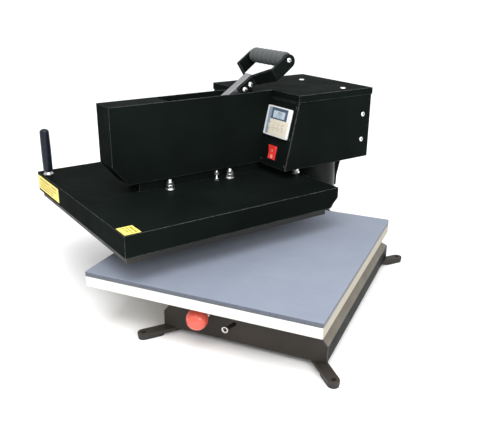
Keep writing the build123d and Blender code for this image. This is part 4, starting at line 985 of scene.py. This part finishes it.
def rocker_marks():
    """On and off marks printed on the two faces of the rocker."""
    turn = Matrix.Rotation(ROCKER_TILT, 4, Q_DIR)
    base = placement(Vector((0, 0, 0)), Q_DIR, PANEL_NORMAL)

    def on_rocker(v):
        out = 3.0 + ROCKER_SLOPE * abs(v) + 0.02
        lean = Matrix.Rotation(atan2(ROCKER_SLOPE, 1) * (1 if v > 0 else -1), 4, "X")
        lift = Matrix.Translation((0, v * MM, out * MM))
        place = Matrix.Translation(ROCKER_PIVOT) @ turn @ base @ lift
        return place @ lean

    stroke = rounded_rectangle(1.4 * MM, 6.0 * MM, 0.4 * MM)
    on_mark = new_piece("rocker_on_mark", slab(stroke, 0.08 * MM), INK_WHITE, "power_rocker",
                        on_rocker(3.6), smooth=False)
    ring = [(2.0 * MM, 0), (3.2 * MM, 0), (3.2 * MM, 0.08 * MM), (2.0 * MM, 0.08 * MM), (2.0 * MM, 0)]
    off_mark = new_piece("rocker_off_mark", lathe(ring, 36), INK_WHITE, "power_rocker", on_rocker(-9.0),
                         smooth=False)


# ---- labels on the heater cover ----------------------------------
COVER_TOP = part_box("heater_cover")[1].z / MM
COVER_FRONT = 598.4


def label(name, width, height, radius, rows, place):
    """Yellow film with rows of generic print; each row is its height and (start, length) bars."""
    film = new_piece(name, slab(rounded_rectangle(width, height, radius), 0.18 * MM), LABEL_YELLOW,
                     "upper_platen", place, smooth=False)
    makers = []
    for v, thick, bars in rows:
        for start, length in bars:
            outline = rounded_rectangle(length * width, thick * height, thick * height * 0.2,
                                        ((start + length / 2 - 0.5) * width, (v - 0.5) * height), 2)
            makers.append((slab(outline, 0.06 * MM), place @ Matrix.Translation((0, 0, 0.18 * MM))))
    ink = new_piece(name + "_print", together(*makers), LABEL_INK, "upper_platen", smooth=False)


def cover_labels():
    rows = ((0.78, 0.13, ((0.08, 0.5), (0.64, 0.26))),
            (0.55, 0.09, ((0.08, 0.34), (0.46, 0.2), (0.70, 0.2))),
            (0.36, 0.09, ((0.08, 0.22), (0.34, 0.4))),
            (0.18, 0.09, ((0.08, 0.44), (0.58, 0.14))))
    front = placement(head_point(-161, COVER_FRONT, 195), Q_DIR, FWD_DIR)
    label("front_label", 128 * MM, 31 * MM, 1.0 * MM, rows, front)
    top = placement(head_point(206, 580, COVER_TOP), Q_DIR, UP)
    label("corner_label", 37 * MM, 31 * MM, 1.0 * MM, rows[:3], top)


# ---- welds, inlet and hidden soft parts --------------------------
def weld_bead(radius, centre, body, name, size=2.6 * MM):
    """Fillet weld round a tube: a ring whose ripples follow the torch."""
    steps, sides = 160, 8

    def make(bm):
        rings = []
        for i in range(steps):
            angle = 2 * pi * i / steps
            ripple = 1 + 0.10 * sin(angle * 40) + 0.05 * sin(angle * 13 + 1)
            out = Vector((cos(angle), sin(angle), 0))
            ring = []
            for k in range(sides):
                a = 2 * pi * k / sides
                ring.append(bm.verts.new(centre + out * (radius + size * ripple * cos(a) * 0.8)
                                         + UP * (size * ripple * sin(a) * 0.8)))
            rings.append(ring)
        for i in range(steps):
            near, far = rings[i], rings[(i + 1) % steps]
            for k in range(sides):
                bm.faces.new((near[k], near[(k + 1) % sides], far[(k + 1) % sides], far[k]))

    bead = new_piece(name, make, BLACK_COAT, body)


COLUMN_WELD_R = 46.5 * MM
FLANGE_WELD_RISE = 10 * MM


def welds():
    flange_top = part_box("flange_bolts")[0].z + FLANGE_WELD_RISE
    weld_bead(COLUMN_WELD_R, Vector((COLUMN.x, COLUMN.y, flange_top)), "base", "column_weld")


def inlet_pins():
    """Three contact blades inside the mains inlet."""
    blade = slab(rounded_rectangle(4.0 * MM, 2.0 * MM, 0.4 * MM), 12 * MM)
    makers = []
    for q, z in ((0, 2.6), (-7, -2.6), (7, -2.6)):
        origin = head_point(70 + q, -68 + 13, 285 + z)
        makers.append((blade, placement(origin, UP, -FWD_DIR)))
    pins = new_piece("inlet_blades", together(*makers), ZINC, "head", smooth=False)


WOOL_LENGTH = 452.8 * MM
WOOL_WIDTH = 444 * MM


def insulation():
    """Packed wool under the heater cover, with a lumpy top and plain sides."""
    cad_low_corner, cad_high_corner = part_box("insulation_blanket")
    low_z = cad_low_corner.z
    height = cad_high_corner.z - low_z
    middle = head_point(0, 366, low_z / MM)
    cells = 36

    def make(bm):
        grid = []
        for side in (0, 1):
            rows = []
            for i in range(cells + 1):
                row = []
                for j in range(cells + 1):
                    x = (i / cells - 0.5) * (WOOL_WIDTH - 3 * MM)
                    y = (j / cells - 0.5) * (WOOL_LENGTH - 3 * MM)
                    lump = (sin(x * 90 + y * 31) + sin(y * 77 - x * 43)) * 0.5 * MM
                    z = height - 1.5 * MM + lump if side else 0.0
                    row.append(bm.verts.new((x, y, z)))
                rows.append(row)
            grid.append(rows)
        for side, rows in enumerate(grid):
            for i in range(cells):
                for j in range(cells):
                    corners = (rows[i][j], rows[i + 1][j], rows[i + 1][j + 1], rows[i][j + 1])
                    bm.faces.new(corners if side else corners[::-1])
        for i in range(cells):
            for line in ([(k, 0) for k in range(cells + 1)], [(k, cells) for k in range(cells + 1)],
                         [(0, k) for k in range(cells + 1)], [(cells, k) for k in range(cells + 1)]):
                (a, b), (c, d) = line[i], line[i + 1]
                bm.faces.new((grid[0][a][b], grid[0][c][d], grid[1][c][d], grid[1][a][b]))

    blanket = new_piece("wool_blanket", make, WOOL, "upper_platen",
                        placement(middle, Q_DIR, UP))
    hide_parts("insulation_blanket")


# ---- studio ------------------------------------------------------
FLOOR_HALF = 30.0
WORLD_STOPS = ((0.0, 0.6), (0.80, 1.0))
WORLD_STRENGTH = 1.24
KEY_PLACE = (0.1, -1.1, 2.4)
KEY_POWER = 46
KEY_SIZE = 1.6
FILL_PLACE = (2.0, -1.2, 1.4)
FILL_POWER = 34
FILL_SIZE = 1.2


def studio():
    """Pale floor, a pale even surround, and soft lights over the front and the right."""
    scene = bpy.context.scene
    scene.view_settings.view_transform = "Standard"
    floor = bpy.data.meshes.new("floor")
    floor.from_pydata([(-FLOOR_HALF, -FLOOR_HALF, 0), (FLOOR_HALF, -FLOOR_HALF, 0),
                       (FLOOR_HALF, FLOOR_HALF, 0), (-FLOOR_HALF, FLOOR_HALF, 0)], [], [(0, 1, 2, 3)])
    floor_object = bpy.data.objects.new("floor", floor)
    scene.collection.objects.link(floor_object)
    s = Shader("pale_floor")
    s.set(Specular_IOR_Level=0.0)
    s.colour(s.ramp(s.noise(0.8, 2.0), (0.3, (0.90, 0.90, 0.90)), (0.7, (0.93, 0.93, 0.93))))
    s.rough(s.span(s.noise(3.0), 0.85, 0.95))
    floor.materials.append(s.material)
    surround(scene)
    add_light("key_light", KEY_PLACE, KEY_POWER, KEY_SIZE)
    add_light("fill_light", FILL_PLACE, FILL_POWER, FILL_SIZE)


def surround(scene):
    """Dome of soft light, a little dimmer near the horizon than overhead."""
    world = bpy.data.worlds.new("surround")
    scene.world = world
    world.use_nodes = True
    nodes = world.node_tree.nodes
    links = world.node_tree.links
    split = nodes.new("ShaderNodeSeparateXYZ")
    links.new(nodes.new("ShaderNodeTexCoord").outputs["Generated"], split.inputs["Vector"])
    ramp = nodes.new("ShaderNodeValToRGB")
    elements = ramp.color_ramp.elements
    for element, (place, level) in zip(elements, WORLD_STOPS):
        element.position = place
        element.color = (level, level, level, 1.0)
    links.new(split.outputs["Z"], ramp.inputs["Fac"])
    links.new(ramp.outputs["Color"], nodes["Background"].inputs["Color"])
    nodes["Background"].inputs["Strength"].default_value = WORLD_STRENGTH


def add_light(name, place, power, size):
    """Square soft light aimed at the middle of the press."""
    data = bpy.data.lights.new(name, "AREA")
    data.energy = power
    data.size = size
    light = bpy.data.objects.new(name, data)
    light.location = place
    aim = (cad_low + cad_high) / 2 - Vector(place)
    light.rotation_euler = aim.to_track_quat("-Z", "Y").to_euler()
    bpy.context.scene.collection.objects.link(light)


CAMERA_PLACE = (0.3934, -1.1304, 0.6263)
CAMERA_YAW, CAMERA_PITCH, CAMERA_ROLL = radians(23.2), radians(20.7), radians(0.53)
CAMERA_LENS = 45.65
CAMERA_SENSOR = 36.0
CAMERA_SHIFT_X = 0.0068


def camera():
    """Camera above the operator's right shoulder, with the whole press in view."""
    data = bpy.data.cameras.new("camera")
    data.lens = CAMERA_LENS
    data.sensor_width = CAMERA_SENSOR
    data.shift_x = CAMERA_SHIFT_X
    data.clip_end = 60.0
    view = bpy.data.objects.new("camera", data)
    turn = Matrix.Rotation(CAMERA_YAW, 4, "Z") @ Matrix.Rotation(pi / 2 - CAMERA_PITCH, 4, "X")
    roll = Matrix.Rotation(CAMERA_ROLL, 4, "Z")
    view.matrix_world = Matrix.Translation(CAMERA_PLACE) @ turn @ roll
    bpy.context.scene.collection.objects.link(view)
    bpy.context.scene.camera = view


camera()
studio()
finish_cad_nodes()
silicone_pad()
foam_grip()
stick_handle()
ball_knob()
stud_nuts()
lever_bolts()
slot_screw()
housing_screws()
control_details()
display_digits()
rocker_marks()
cover_labels()
welds()
inlet_pins()
insulation()
return_springs()
